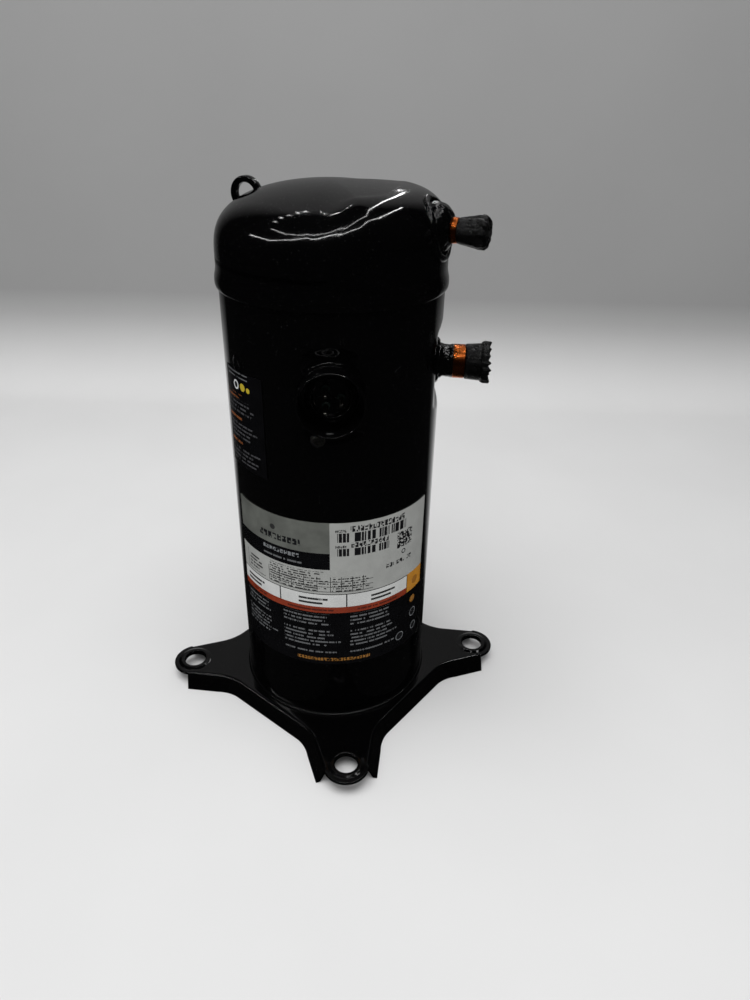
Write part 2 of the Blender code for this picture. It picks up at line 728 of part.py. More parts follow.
def valves():
    part(rod("check_valve_disc", 12.5, 384.3, 385.9), "machined_steel")
    cage = [(20, 384.3), (20, 386.4), (15.5, 386.4), (15.5, 391.6), (6, 391.6), (6, 389.9),
            (13.1, 389.9), (13.1, 384.3)]
    retainer = part(turned("check_valve_retainer", cage, SMALL), "machined_steel")
    for k in range(3):
        cut(retainer, box(f"cage_window_{k}", (11, -5, 386.8), (18, 5, 389.5), around(60 + 120 * k)))
    relief = [(0, 374.5), (5.1, 374.5), (5.1, 384.3), (7.5, 384.3), (7.5, 391), (6.5, 392.5),
              (0, 392.5)]
    part(turned("pressure_relief_valve", relief, 12, around(120, 54)), "bronze")
    disc = [(0, 384.3), (8.6, 384.3), (8.6, 387), (6.6, 388.6), (0, 388.6)]
    part(turned("temperature_disc", disc, 16, around(-80, 36)), "bronze")


def suction_baffle():
    bm = bmesh.new()
    ends = [bm.verts.new((69.5 * MM, 0, z * MM)) for z in (336, 288)]
    bm.edges.new(ends)
    baffle = from_bmesh("suction_baffle", bm, at(0, 0, 0, SUCTION_AT[0] - 17))
    add_screw(baffle, 6, radians(34))
    sheet = baffle.modifiers.new("sheet", "SOLIDIFY")
    sheet.thickness = 1.2 * MM
    sheet.offset = -1
    part(baffle, "machined_steel")


# ---------------------------------------------------------------- bearings and frame

def main_bearing_housing():
    profile = [(18.3, 254), (26, 254), (27, 288), (47, 296), (60.5, 296), (60.5, 305.9),
               (46, 305.9), (46, 313.7), (28, 313.7), (28, 298.5), (18.3, 298.5)]
    body = turned("main_bearing_housing", profile, LARGE)
    arms, pillars = bmesh.new(), bmesh.new()
    for azimuth in PILLARS:
        add_box(arms, (52, -13, 297), (80, 13, 305), around(azimuth))
        add_box(pillars, (64.5, -11, 300), (81, 11, WRAP_TOP - GAP), around(azimuth))
    join(body, from_bmesh("housing_arms", arms), from_bmesh("housing_pillars", pillars))
    combine(body, rod("housing_trim", BORE_IN_SHELL, 250, 360, 64), "INTERSECT")
    slot = KEY_WIDTH / 2 + GAP
    for side in (0, 180):
        cut(body, box(f"housing_slot_{side}", (45.9, -slot, 300), (63.5, slot, 308), around(side)))
    for k, azimuth in enumerate(PILLARS):
        spot = around(azimuth, PILLAR_CIRCLE)
        cut(body, rod(f"bolt_hole_{k}", 3.4, 335, 360, 12, spot))
    part(body, "cast_iron")
    part(ring("main_bearing_bush", MAIN_JOURNAL + GAP, 18, 255, 297.5, SMALL), "bronze")


def lower_bearing():
    hub = [(6.7, 38), (20, 38), (20, 78), (12.4, 78), (12.4, 41.7), (6.7, 41.7)]
    body = turned("lower_bearing_bracket", hub, SMALL)
    bm = bmesh.new()
    for k in range(4):
        add_box(bm, (18, -11, 54), (80, 11, 66), around(-75 + 90 * k))
    join(body, from_bmesh("bracket_arms", bm))
    combine(body, rod("bracket_trim", BORE_IN_SHELL, 30, 90, 64), "INTERSECT")
    part(body, "cast_iron")
    part(ring("lower_bearing_bush", LOWER_JOURNAL + GAP, 12.1, 46, 77, SMALL), "bronze")
    part(ring("thrust_washer", 6.7, 12.1, 42, 43.7, SMALL), "machined_steel")


# ---------------------------------------------------------------- shaft and motor

def crankshaft():
    profile = [(0, 44), (LOWER_JOURNAL, 44), (LOWER_JOURNAL, 79), (MOTOR_JOURNAL, 81),
               (MOTOR_JOURNAL, 236), (MAIN_JOURNAL, 238), (MAIN_JOURNAL, 299), (0, 299)]
    body = turned("crankshaft", profile, SMALL)
    join(body, rod("crank_pin", CRANK_PIN, 298, 312, SMALL, at(ORBIT, 0)))
    part(body, "machined_steel")
    pickup = [(6.2, 43.7), (6.2, 34), (4.2, 20), (2.6, 20), (4.6, 34), (4.6, 43.7)]
    part(turned("oil_pickup", pickup, 16), "machined_steel")


def stator():
    low, high = STACK
    edge = []
    for i in range(AROUND):
        angle = 360 * i / AROUND
        apart = min(angle_apart(angle, a + 45) for a in PILLARS)
        edge.append(min(BORE_IN_SHELL, 75.6 / cos(radians(min(apart, 40)))))
    rim = [(r * cos(2 * pi * i / AROUND), r * sin(2 * pi * i / AROUND)) for i, r in enumerate(edge)]
    bore, mouth, throat, bottom, half = 36.0, 1.4, 39.0, 59.0, 3.2
    teeth = []
    for k in range(SLOTS):
        turn = Matrix.Rotation(2 * pi * k / SLOTS, 2)
        slot = [(sqrt(bore**2 - mouth**2), -mouth), (throat, -mouth), (throat + 1.5, -half),
                (bottom, -half), (bottom, half), (throat + 1.5, half), (throat, mouth),
                (sqrt(bore**2 - mouth**2), mouth)]
        teeth += [tuple(turn @ Vector(p)) for p in slot]
    part(plate("stator_core", [rim, teeth], low, high), "silicon_steel")
    ends = [(47, low - 30), (64, low - 28), (67, low - 18), (66, low - 4), (61, low - 0.4),
            (41, low - 0.4), (41, low - 14)]
    winding = turned("stator_winding", ends)
    mirrored = [(r, low + high - z) for r, z in ends]
    join(winding, turned("upper_end_turns", mirrored))
    bm = bmesh.new()
    for k in range(SLOTS):
        add_box(bm, (41.6, -2.7, low - 2), (58.5, 2.7, high + 2), around(360 * k / SLOTS))
    join(winding, from_bmesh("slot_conductors", bm))
    part(winding, "enamelled_copper")
    top = high + 30.6
    part(rod("motor_protector", 6, -14, 14, 16,
             around(150, 56, top + 6.2) @ Matrix.Rotation(pi / 2, 4, "X")), "moulded_black")


def rotor():
    low, high = STACK[0] + 2, STACK[1] - 2
    holes = [circle(2.9, 6, tuple(Matrix.Rotation(2 * pi * k / BARS, 2) @ Vector((30.2, 0))))
             for k in range(BARS)]
    part(plate("rotor_core", [circle(35.4, LARGE), circle(MOTOR_JOURNAL + GAP, SMALL)] + holes, low, high),
         "silicon_steel")
    cage = ring("rotor_cage", 23, 34.6, low - 10, low - GAP)
    join(cage, ring("upper_cage_ring", 23, 34.6, high + GAP, high + 10))
    bm = bmesh.new()
    for k in range(BARS):
        spot = around(360 * k / BARS, 30.2, (low + high) / 2)
        bmesh.ops.create_cone(bm, cap_ends=True, segments=6, radius1=2.2 * MM, radius2=2.2 * MM,
                              depth=(high - low + 4) * MM, matrix=spot)
    join(cage, from_bmesh("cage_bars", bm))
    part(cage, "aluminium")
    for name, reach, bottom, top, facing in (
        ("upper_counterweight", 40, high + 10.3, high + 23, pi),
        ("lower_counterweight", 34, low - 20, low - 10.3, 0),
    ):
        spread = radians(88)
        half = arc(reach, facing - spread, facing + spread, 15)
        half += arc(MOTOR_JOURNAL + GAP, facing + spread, facing - spread, 11)
        part(plate(name, [half], bottom, top), "cast_iron")


def sump_magnet():
    part(ring("sump_magnet", 3.5, 10, 12.2, 16.5, 16, around(200, 34)), "ferrite")


def build():
    mounting_base()
    shell()
    bottom_cap()
    top_cap()
    muffler_plate()
    lifting_ring()
    suction()
    discharge()
    terminal()
    labels()
    orbiting_scroll()
    oldham_coupling()
    non_orbiting_scroll()
    floating_seal()
    guide_bolts()
    valves()
    suction_baffle()
    main_bearing_housing()
    lower_bearing()
    crankshaft()
    stator()
    rotor()
    sump_magnet()


build()
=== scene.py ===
"""The looks of the scroll compressor: fine outer skins, enamel, copper, rubber and labels,
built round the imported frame. Metres, +Z up, origin on the shaft axis at floor level."""

import json
from math import atan2, cos, degrees, exp, pi, radians, sin, sqrt

import bmesh
import bpy
from mathutils import Matrix, Vector, noise


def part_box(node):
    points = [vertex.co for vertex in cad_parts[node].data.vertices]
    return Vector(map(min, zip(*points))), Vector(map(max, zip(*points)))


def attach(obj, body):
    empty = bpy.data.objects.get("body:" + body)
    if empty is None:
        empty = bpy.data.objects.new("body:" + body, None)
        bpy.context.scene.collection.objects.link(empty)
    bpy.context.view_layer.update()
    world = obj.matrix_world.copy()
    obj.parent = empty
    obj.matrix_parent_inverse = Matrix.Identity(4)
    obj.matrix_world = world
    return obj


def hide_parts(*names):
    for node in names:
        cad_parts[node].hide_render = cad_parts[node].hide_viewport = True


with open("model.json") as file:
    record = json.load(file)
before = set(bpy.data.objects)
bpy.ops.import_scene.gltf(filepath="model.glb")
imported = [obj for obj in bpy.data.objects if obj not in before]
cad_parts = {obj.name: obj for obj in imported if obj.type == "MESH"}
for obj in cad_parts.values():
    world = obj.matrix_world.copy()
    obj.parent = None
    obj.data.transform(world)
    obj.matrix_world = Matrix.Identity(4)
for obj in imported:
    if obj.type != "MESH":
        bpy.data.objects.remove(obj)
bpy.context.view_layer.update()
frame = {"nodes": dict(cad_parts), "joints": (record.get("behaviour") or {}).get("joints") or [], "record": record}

MM = 0.001
ROOT = "casing"


# ---------------------------------------------------------------- sizes from the frame

def high(node):
    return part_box(node)[1] / MM


def low(node):
    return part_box(node)[0] / MM


def joint_azimuth(name):
    axis = next(j["axis"] for j in frame["joints"] if j["name"] == name)
    return degrees(atan2(axis[1], axis[0]))


def mount(name):
    return next(m for m in frame["record"]["mounts"] if m["name"] == name)


def mid_height(node):
    return (low(node).z + high(node).z) / 2


SHELL_R = high("shell").x
SHELL_LOW, SHELL_HIGH = low("shell").z, high("shell").z
CAP_LIP_R = high("top_cap").x
CAP_LOW, CAP_TOP = low("top_cap").z, high("top_cap").z
CAP_R = CAP_LIP_R - 1.5
WALL = 3.0
GAP = 0.3
SUCTION = (joint_azimuth("suction_plug_pull"), mid_height("suction_stub"))
DISCHARGE = (joint_azimuth("discharge_plug_pull"), mid_height("discharge_stub"))
BOSS_R = (high("discharge_fitting").z - low("discharge_fitting").z) / 2
TERMINAL_AXIS = mount("terminal_cover_seat")["axis"]
TERMINAL = (degrees(atan2(TERMINAL_AXIS[1], TERMINAL_AXIS[0])), mid_height("terminal_fence"))
GROUND_AXIS = mount("ground_screw_head")["axis"]
GROUND = (degrees(atan2(GROUND_AXIS[1], GROUND_AXIS[0])), mid_height("ground_screw"))
LOOP = mount("lifting_eye_side")
HOLE = 95.25                       # half the square of mounting holes
BASE_TOP = high("mounting_base").z
FLAT_DEPTH = 3.4
FLAT_Z = (287.0, 339.0, 10.0)      # pressed flats: from, to, and length of the blend


# ---------------------------------------------------------------- small helpers

def smooth_step(value, start, end):
    t = min(max((value - start) / (end - start), 0.0), 1.0)
    return t * t * (3 - 2 * t)


def apart(a, b):
    return abs((a - b + 180) % 360 - 180)


def ripple(x, y, z, scale, seed=0.0):
    """Smooth noise between about -1 and 1, at a scale in millimetres."""
    return noise.noise(Vector((x / scale + seed, y / scale - seed, z / scale + 2 * seed)))


def around(azimuth, radius=0.0, z=0.0):
    angle = radians(azimuth)
    spot = Matrix.Translation(Vector((radius * cos(angle), radius * sin(angle), z)) * MM)
    return spot @ Matrix.Rotation(angle, 4, "Z")


def radial(azimuth, z):
    """Local Z points outwards from the shaft axis, so a local height is a radius."""
    return around(azimuth, 0, z) @ Matrix.Rotation(pi / 2, 4, "Y")


def piece(name, bm, place, materials, body=ROOT, stands_for=(), sharp=35):
    """Makes the finished mesh a piece of the object, riding on its body."""
    mesh = bpy.data.meshes.new(name)
    bmesh.ops.recalc_face_normals(bm, faces=bm.faces)
    bm.to_mesh(mesh)
    bm.free()
    mesh.transform(place)
    mesh.shade_smooth()
    mesh.set_sharp_from_angle(angle=radians(sharp))
    obj = bpy.data.objects.new(name, mesh)
    bpy.context.scene.collection.objects.link(obj)
    for material in materials:
        mesh.materials.append(material)
    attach(obj, body)
    if stands_for:
        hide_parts(*stands_for)
    return obj


def skin(rings, closed=False, poles=(False, False)):
    """A surface over rings of equal count, as a bmesh in metres from millimetre points."""
    bm = bmesh.new()
    rows = []
    for i, ring in enumerate(rings):
        if (i == 0 and poles[0]) or (i == len(rings) - 1 and poles[1]):
            rows.append([bm.verts.new(Vector(ring[0]) * MM)])
        else:
            rows.append([bm.verts.new(Vector(p) * MM) for p in ring])
    pairs = list(zip(rows, rows[1:]))
    if closed:
        pairs.append((rows[-1], rows[0]))
    for upper, lower in pairs:
        count = max(len(upper), len(lower))
        for i in range(count):
            j = (i + 1) % count
            if len(upper) == 1:
                bm.faces.new((upper[0], lower[j], lower[i]))
            elif len(lower) == 1:
                bm.faces.new((upper[i], upper[j], lower[0]))
            else:
                bm.faces.new((upper[i], upper[j], lower[j], lower[i]))
    return bm


def circle_points(radius, z, count):
    return [(radius * cos(2 * pi * i / count), radius * sin(2 * pi * i / count), z)
            for i in range(count)]


def rounded(profile, corner, steps=3):
    """The profile with each inner corner replaced by an arc-like curve of that size."""
    points = [profile[0]]
    for before, at, after in zip(profile, profile[1:], profile[2:]):
        a, b, c = Vector(before), Vector(at), Vector(after)
        reach = min(corner, (a - b).length * 0.45, (c - b).length * 0.45)
        start, end = b + (a - b).normalized() * reach, b + (c - b).normalized() * reach
        for i in range(steps + 1):
            t = i / steps
            points.append(tuple(start * (1 - t) ** 2 + b * 2 * t * (1 - t) + end * t * t))
    points.append(profile[-1])
    return points


def turned(profile, count=96, shift=None, loop=False):
    """A turned skin. A profile that starts or ends at radius 0 gets a pole there.
    shift(radius, angle, z) may move a point, and returns its new radius and z."""
    rings = []
    for r, z in profile:
        ring = []
        for i in range(count):
            angle = 2 * pi * i / count
            rr, zz = shift(r, angle, z) if shift and r > 0 else (r, z)
            ring.append((rr * cos(angle), rr * sin(angle), zz))
        rings.append(ring)
    return skin(rings, closed=loop, poles=(profile[0][0] == 0, profile[-1][0] == 0))


def cut(obj, cutter_bm, place):
    """Cuts a shape out of the piece for good."""
    mesh = bpy.data.meshes.new("cutter")
    bmesh.ops.recalc_face_normals(cutter_bm, faces=cutter_bm.faces)
    cutter_bm.to_mesh(mesh)
    cutter_bm.free()
    mesh.transform(place)
    tool = bpy.data.objects.new("cutter", mesh)
    bpy.context.scene.collection.objects.link(tool)
    modifier = obj.modifiers.new("cut", "BOOLEAN")
    modifier.operation = "DIFFERENCE"
    modifier.object = tool
    apply_modifiers(obj)
    bpy.data.objects.remove(tool, do_unlink=True)


def apply_modifiers(obj):
    bpy.context.view_layer.update()
    graph = bpy.context.evaluated_depsgraph_get()
    mesh = bpy.data.meshes.new_from_object(obj.evaluated_get(graph))
    obj.modifiers.clear()
    obj.data = mesh


def drill(radius, start, end, count=64):
    return turned([(0, start), (radius, start), (radius, end), (0, end)], count)


# ---------------------------------------------------------------- materials

class Nodes:
    """A short hand for a material's node tree."""

    def __init__(self, name):
        self.material = bpy.data.materials.new(name)
        self.material.use_nodes = True
        self.tree = self.material.node_tree
        self.shader = self.tree.nodes["Principled BSDF"]
        coordinates = self.tree.nodes.new("ShaderNodeTexCoord")
        self.place = coordinates.outputs["Object"]

    def link(self, value, socket):
        if isinstance(value, bpy.types.NodeSocket):
            self.tree.links.new(value, socket)
        else:
            socket.default_value = value

    def math(self, operation, *values):
        node = self.tree.nodes.new("ShaderNodeMath")
        node.operation = operation
        for value, socket in zip(values, node.inputs):
            self.link(value, socket)
        return node.outputs[0]

    def noise(self, scale, detail=2.0, roughness=0.5, vector=None, stretch=(1, 1, 1)):
        node = self.tree.nodes.new("ShaderNodeTexNoise")
        mapping = self.tree.nodes.new("ShaderNodeMapping")
        mapping.inputs["Scale"].default_value = stretch
        self.link(vector or self.place, mapping.inputs["Vector"])
        self.link(mapping.outputs[0], node.inputs["Vector"])
        node.inputs["Scale"].default_value = scale
        node.inputs["Detail"].default_value = detail
        node.inputs["Roughness"].default_value = roughness
        return node.outputs["Fac"]

    def ramp(self, value, start, end, low=0.0, high=1.0):
        node = self.tree.nodes.new("ShaderNodeMapRange")
        self.link(value, node.inputs["Value"])
        for name, number in (("From Min", start), ("From Max", end), ("To Min", low),
                             ("To Max", high)):
            node.inputs[name].default_value = number
        return node.outputs[0]

    def mix(self, amount, first, second):
        node = self.tree.nodes.new("ShaderNodeMix")
        node.data_type = "RGBA"
        self.link(amount, node.inputs["Factor"])
        self.link(first, node.inputs["A"])
        self.link(second, node.inputs["B"])
        return node.outputs["Result"]

    def mix_value(self, amount, first, second):
        node = self.tree.nodes.new("ShaderNodeMix")
        self.link(amount, node.inputs["Factor"])
        self.link(first, node.inputs["A"])
        self.link(second, node.inputs["B"])
        return node.outputs["Result"]

    def joined_grey(self, value):
        node = self.tree.nodes.new("ShaderNodeCombineColor")
        for name in ("Red", "Green", "Blue"):
            self.link(value, node.inputs[name])
        return node.outputs[0]

    def bump(self, height, strength, distance_mm, normal=None):
        node = self.tree.nodes.new("ShaderNodeBump")
        self.link(height, node.inputs["Height"])
        node.inputs["Strength"].default_value = strength
        node.inputs["Distance"].default_value = distance_mm * MM
        if normal:
            self.link(normal, node.inputs["Normal"])
        self.link(node.outputs[0], self.shader.inputs["Normal"])
        return node.outputs[0]

    def set(self, **values):
        for name, value in values.items():
            if isinstance(value, tuple) and len(value) == 3:
                value = (*value, 1.0)
            self.link(value, self.shader.inputs[name.replace("_", " ")])
        return self.material


def rgb(r, g, b):
    return (r, g, b, 1.0)


def enamel(name="black_enamel", lumps=0.0):
    """Deep black stoving enamel: slight orange peel, a few soft patches and specks of dust.
    Where it lies over weld metal, lumps show through."""
    n = Nodes(name)
    peel = n.noise(620, 1.0)
    waves = n.math("MULTIPLY", n.noise(55, 2.0), 0.55)
    height = n.math("ADD", n.math("MULTIPLY", peel, 0.25 + lumps), waves)
    n.bump(height, 0.22 + lumps / 2, 0.35)
    patches = n.noise(28, 3.0)
    specks = n.ramp(n.noise(1500, 0.0), 0.80, 0.84)
    rough = n.math("ADD", n.ramp(patches, 0.35, 0.7, 0.055, 0.12), n.math("MULTIPLY", specks, 0.3))
    colour = n.mix(specks, rgb(0.0009, 0.0009, 0.0010), rgb(0.02, 0.02, 0.02))
    return n.set(Base_Color=colour, Roughness=rough, IOR=1.5, Coat_Weight=0.35,
                 Coat_Roughness=0.04)


def rubber():
    """Black shrunk rubber: fine grain over soft wrinkles, duller in the hollows."""
    n = Nodes("black_rubber")
    grain = n.noise(2600, 3.0, 0.6)
    wrinkles = n.noise(300, 3.0, 0.6)
    height = n.math("ADD", n.math("MULTIPLY", grain, 0.3), wrinkles)
    n.bump(height, 0.9, 1.0)
    dusty = n.ramp(n.noise(150, 4.0), 0.45, 0.75)
    colour = n.mix(dusty, rgb(0.0016, 0.0016, 0.0017), rgb(0.0045, 0.0045, 0.0048))
    return n.set(Base_Color=colour, Roughness=n.ramp(wrinkles, 0.3, 0.7, 0.22, 0.42))


def copper():
    """Drawn copper: fine lines round the tube, warm colour shifts and a little tarnish. Mirrored
    rays see it painted near black, so the enamel mirrors it dark: painted shade on its reflections."""
    n = Nodes("bright_copper")
    path = n.tree.nodes.new("ShaderNodeLightPath")
    lines = n.noise(900, 3.0, 0.65)
    stain = n.noise(130, 4.0, 0.6)
    colour = n.mix(n.ramp(stain, 0.4, 0.75), rgb(0.86, 0.215, 0.040), rgb(0.36, 0.075, 0.018))
    # painted shade: near black for mirrored rays, so its reflections in the enamel come out dark
    colour = n.mix(path.outputs["Is Glossy Ray"], colour, rgb(0.02, 0.006, 0.002))
    n.bump(lines, 0.18, 0.12)
    return n.set(Base_Color=colour, Metallic=1.0, Roughness=n.ramp(stain, 0.3, 0.7, 0.20, 0.36))


def metal(name, colour, rough, scale=600, stretch=(1, 1, 1), bump=0.15, shade=0.75):
    """A bare metal whose colour, roughness and surface all vary a little."""
    n = Nodes(name)
    lines = n.noise(scale, 4.0, 0.65, stretch=stretch)
    cloud = n.noise(60, 3.0)
    darker = tuple(c * shade for c in colour)
    base = n.mix(n.ramp(cloud, 0.35, 0.7), rgb(*colour), rgb(*darker))
    n.bump(lines, bump, 0.15)
    return n.set(Base_Color=base, Metallic=1.0, Roughness=n.ramp(lines, 0.3, 0.7, rough, rough + 0.14))


def plain(name, colour, rough, bump=0.2, metallic=0.0, scale=900):
    """A moulded or wound material with a fine even grain and slight shade changes."""
    n = Nodes(name)
    grain = n.noise(scale, 3.0, 0.6)
    base = n.mix(n.ramp(n.noise(80, 3.0), 0.35, 0.7), rgb(*colour), rgb(*(c * 0.7 for c in colour)))
    n.bump(grain, bump, 0.2)
    return n.set(Base_Color=base, Metallic=metallic, Roughness=n.ramp(grain, 0.3, 0.7, rough, rough + 0.1))


def laminations():
    """Stacked sheets: thin dark joints at every half millimetre of height."""
    n = Nodes("lamination_stack")
    split = n.tree.nodes.new("ShaderNodeSeparateXYZ")
    n.link(n.place, split.inputs[0])
    phase = n.math("FRACT", n.math("MULTIPLY", split.outputs["Z"], 1 / (0.5 * MM)))
    joint = n.math("LESS_THAN", phase, 0.18)
    colour = n.mix(joint, rgb(0.30, 0.31, 0.33), rgb(0.10, 0.10, 0.11))
    n.bump(n.math("SUBTRACT", 1.0, joint), 0.5, 0.1)
    return n.set(Base_Color=colour, Metallic=0.9, Roughness=n.ramp(n.noise(200, 3.0), 0.3, 0.7, 0.38, 0.5))


def winding_wire():
    """Bundled enamelled wire: strands running round the shaft, with painted shade in the grooves
    between strands and a random darker tone.
    """
    n = Nodes("enamelled_wire")
    split = n.tree.nodes.new("ShaderNodeSeparateXYZ")
    n.link(n.place, split.inputs[0])
    radius = n.math("SQRT", n.math("ADD", n.math("POWER", split.outputs["X"], 2.0),
                                   n.math("POWER", split.outputs["Y"], 2.0)))
    strand = n.math("SINE", n.math("MULTIPLY", n.math("ADD", radius, split.outputs["Z"]), 4200.0))
    wander = n.noise(180, 3.0)
    height = n.math("ADD", strand, n.math("MULTIPLY", wander, 2.0))
    # painted shade: the colour follows the strands' height, darker down in the grooves between them; the wander
    # part adds random tone
    colour = n.mix(n.ramp(height, -0.5, 2.2), rgb(0.20, 0.05, 0.012), rgb(0.62, 0.20, 0.06))
    n.bump(height, 0.6, 0.25)
    return n.set(Base_Color=colour, Metallic=0.75, Roughness=0.36)


ENAMEL = enamel()
WELD_ENAMEL = enamel("enamel_over_weld", 1.1)
RUBBER = rubber()
COPPER = copper()
STEEL = metal("machined_steel", (0.55, 0.56, 0.57), 0.24, 700, (1, 1, 6))
ZINC = metal("zinc_plated_screw", (0.50, 0.50, 0.47), 0.25, 500)
PIN = metal("plated_pin", (0.62, 0.60, 0.54), 0.16, 800, (6, 6, 1))
IRON = metal("cast_iron", (0.20, 0.20, 0.21), 0.42, 350, bump=0.4)
ALUMINIUM = metal("cast_aluminium", (0.68, 0.69, 0.70), 0.32, 400, bump=0.25)
BRONZE = metal("bearing_bronze", (0.60, 0.40, 0.18), 0.26, 600, (1, 1, 5))
LAMINATION = laminations()
WIRE = winding_wire()
SEAL = plain("seal_polymer", (0.30, 0.17, 0.08), 0.45)
MOULDING = plain("black_moulding", (0.012, 0.012, 0.012), 0.40)
FERRITE = plain("dark_ferrite", (0.05, 0.05, 0.055), 0.5, metallic=0.2)
GLASS_SEAL = plain("glass_bead", (0.010, 0.016, 0.014), 0.12, bump=0.05)
SLOT_LOOK = {
    "enamel": ENAMEL, "rubber": RUBBER, "copper_tube": COPPER, "machined_steel": STEEL,
    "pin_plating": PIN, "iron": IRON, "lamination": LAMINATION, "cast_aluminium": ALUMINIUM,
    "bearing_bronze": BRONZE, "winding": WIRE, "seal_polymer": SEAL, "moulding": MOULDING,
    "magnet": FERRITE, "label": ENAMEL,
}


def finish_cad_nodes():
    """Every node that shows its CAD shape takes the finish of its record slot."""
    for entry in frame["record"]["subparts"]:
        obj = frame["nodes"][entry["node"]]
        obj.data.materials.clear()
        obj.data.materials.append(SLOT_LOOK[entry["material_slot"]])


# ---------------------------------------------------------------- pressure shell

def shell_r(azimuth, z, outer=SHELL_R):
    """The shell's radius: round, with a softly pressed flat behind each side fitting."""
    start, end, blend = FLAT_Z
    pressed = smooth_step(z, start - blend, start) * (1 - smooth_step(z, end, end + blend))
    plane = outer - FLAT_DEPTH * pressed
    result = outer
    for fitting in (SUCTION, TERMINAL):
        angle = radians(apart(azimuth, fitting[0]))
        if angle < 0.6:
            flat = plane / cos(angle)
            blend_width = 0.35
            gap = (result - flat) / blend_width
            if gap > -3:
                soft = 1 / (1 + exp(-3 * gap)) if gap < 3 else 1.0
                result = result + (min(result, flat) - result) * soft
    return result


def make_shell():
    count = 200
    heights = [SHELL_LOW, SHELL_LOW + 0.8]
    heights += [SHELL_LOW + 6 + i * (FLAT_Z[0] - 20 - SHELL_LOW) / 26 for i in range(26)]
    heights += [FLAT_Z[0] - 12 + i * 1.6 for i in range(10)]
    heights += [FLAT_Z[0] + 6 + i * (FLAT_Z[1] - FLAT_Z[0] - 10) / 9 for i in range(10)]
    heights += [FLAT_Z[1] - 1 + i * 1.6 for i in range(10)]
    heights += [FLAT_Z[1] + 18 + i * (SHELL_HIGH - FLAT_Z[1] - 20) / 3 for i in range(3)]
    heights += [SHELL_HIGH]
    outside = [[(shell_r(360 * i / count, z) * cos(2 * pi * i / count),
                 shell_r(360 * i / count, z) * sin(2 * pi * i / count), z)
                for i in range(count)] for z in heights]
    inside = [[((shell_r(360 * i / count, z) - WALL) * cos(2 * pi * i / count),
                (shell_r(360 * i / count, z) - WALL) * sin(2 * pi * i / count), z)
               for i in range(count)] for z in heights[::-1]]
    shell = piece("shell_skin", skin(outside + inside, closed=True), Matrix.Identity(4),
                  [ENAMEL], stands_for=("shell",))
    cut(shell, drill(11.9, 60, 95), radial(*SUCTION))
    cut(shell, drill(18.5, 60, 95), radial(*TERMINAL))
    cut(shell, drill(2.5, 60, 95, 24), radial(*GROUND))
    shell.data.shade_smooth()
    shell.data.set_sharp_from_angle(angle=radians(35))


def weld_bead(name, path, radius, ripples, material, seed, body=ROOT, height=0.8):
    """A laid weld bead along a closed path of (centre, outward) pairs in millimetres."""
    rings = []
    count = len(path)
    for i, (centre, out) in enumerate(path):
        before, after = Vector(path[i - 1][0]), Vector(path[(i + 1) % count][0])
        along = (after - before).normalized()
        across = along.cross(Vector(out)).normalized()
        scale = 1 + 0.10 * sin(2 * pi * ripples * i / count)
        scale += 0.16 * ripple(*centre, 6.0, seed)
        ring = []
        for k in range(10):
            a = 2 * pi * k / 10
            offset = Vector(out) * (height * sin(a)) + across * cos(a)
            ring.append(tuple(Vector(centre) + offset * radius * scale))
        rings.append(ring)
    return piece(name, skin(rings, closed=True), Matrix.Identity(4), [material], body,
                 sharp=60)


def circle_path(radius, z, out_lift, count=240):
    path = []
    for i in range(count):
        a = 2 * pi * i / count
        out = Vector((cos(a), sin(a), out_lift)).normalized()
        path.append(((radius * cos(a), radius * sin(a), z), tuple(out)))
    return path


def surface_path(place_at, surface, ring_radius, count=96):
    """A circle of that radius about a fitting's axis, laid on a surface of the vessel."""
    azimuth, height = place_at
    middle = radians(azimuth)
    path = []
    for i in range(count):
        a = 2 * pi * i / count
        side, z = ring_radius * cos(a), height + ring_radius * sin(a)
        r = surface(azimuth, z)
        for _ in range(4):
            r = surface(azimuth + degrees(atan2(side, r)), z)
            r = sqrt(max(r * r - side * side, 1.0))
        x = r * cos(middle) - side * sin(middle)
        y = r * sin(middle) + side * cos(middle)
        out = Vector((cos(middle), sin(middle), 0.0))
        out += Vector((-sin(middle) * cos(a), cos(middle) * cos(a), sin(a))) * 0.7
        path.append(((x, y, z), tuple(out.normalized())))
    return path


def plug_welds():
    """Puddle marks where the bearing housing and the lower bracket are welded through."""
    spots = [(-13.5 + 90 * k, 324) for k in range(4)] + [(-75 + 90 * k, 60) for k in range(4)]
    for number, (azimuth, z) in enumerate(spots):
        base = shell_r(azimuth, z) - 0.6
        profile = [(0, base + 0.75), (2.0, base + 0.85), (3.4, base + 1.25), (4.6, base + 1.35),
                   (5.6, base + 0.95), (6.4, base + 0.45), (6.5, base - 0.4), (0, base - 0.4)]

        def uneven(r, a, height, seed=number):
            wobble = 0.35 * ripple(r * cos(a), r * sin(a), 0, 3.0, seed)
            return r * (1 + 0.06 * sin(3 * a + seed)), height + wobble * (r > 1.5) * (height > base)

        piece(f"plug_weld_{number + 1}", turned(rounded(profile, 0.8), 40, uneven),
              radial(azimuth, z), [ENAMEL], sharp=70)


# ---------------------------------------------------------------- top cap

CAP_CROWN = CAP_TOP + 0.2                      # the faceted cap stops just short of its centre
CAP_LOW_WALL, CAP_HIGH_WALL = 387.0, 406.2     # where the wall starts to bend inwards
CAP_HIGH_ROUND = 28.5                          # radius of that bend on the raised side
CAP_LIFTED = (49.0, 75.0)      # degrees from the discharge: all raised, no longer raised


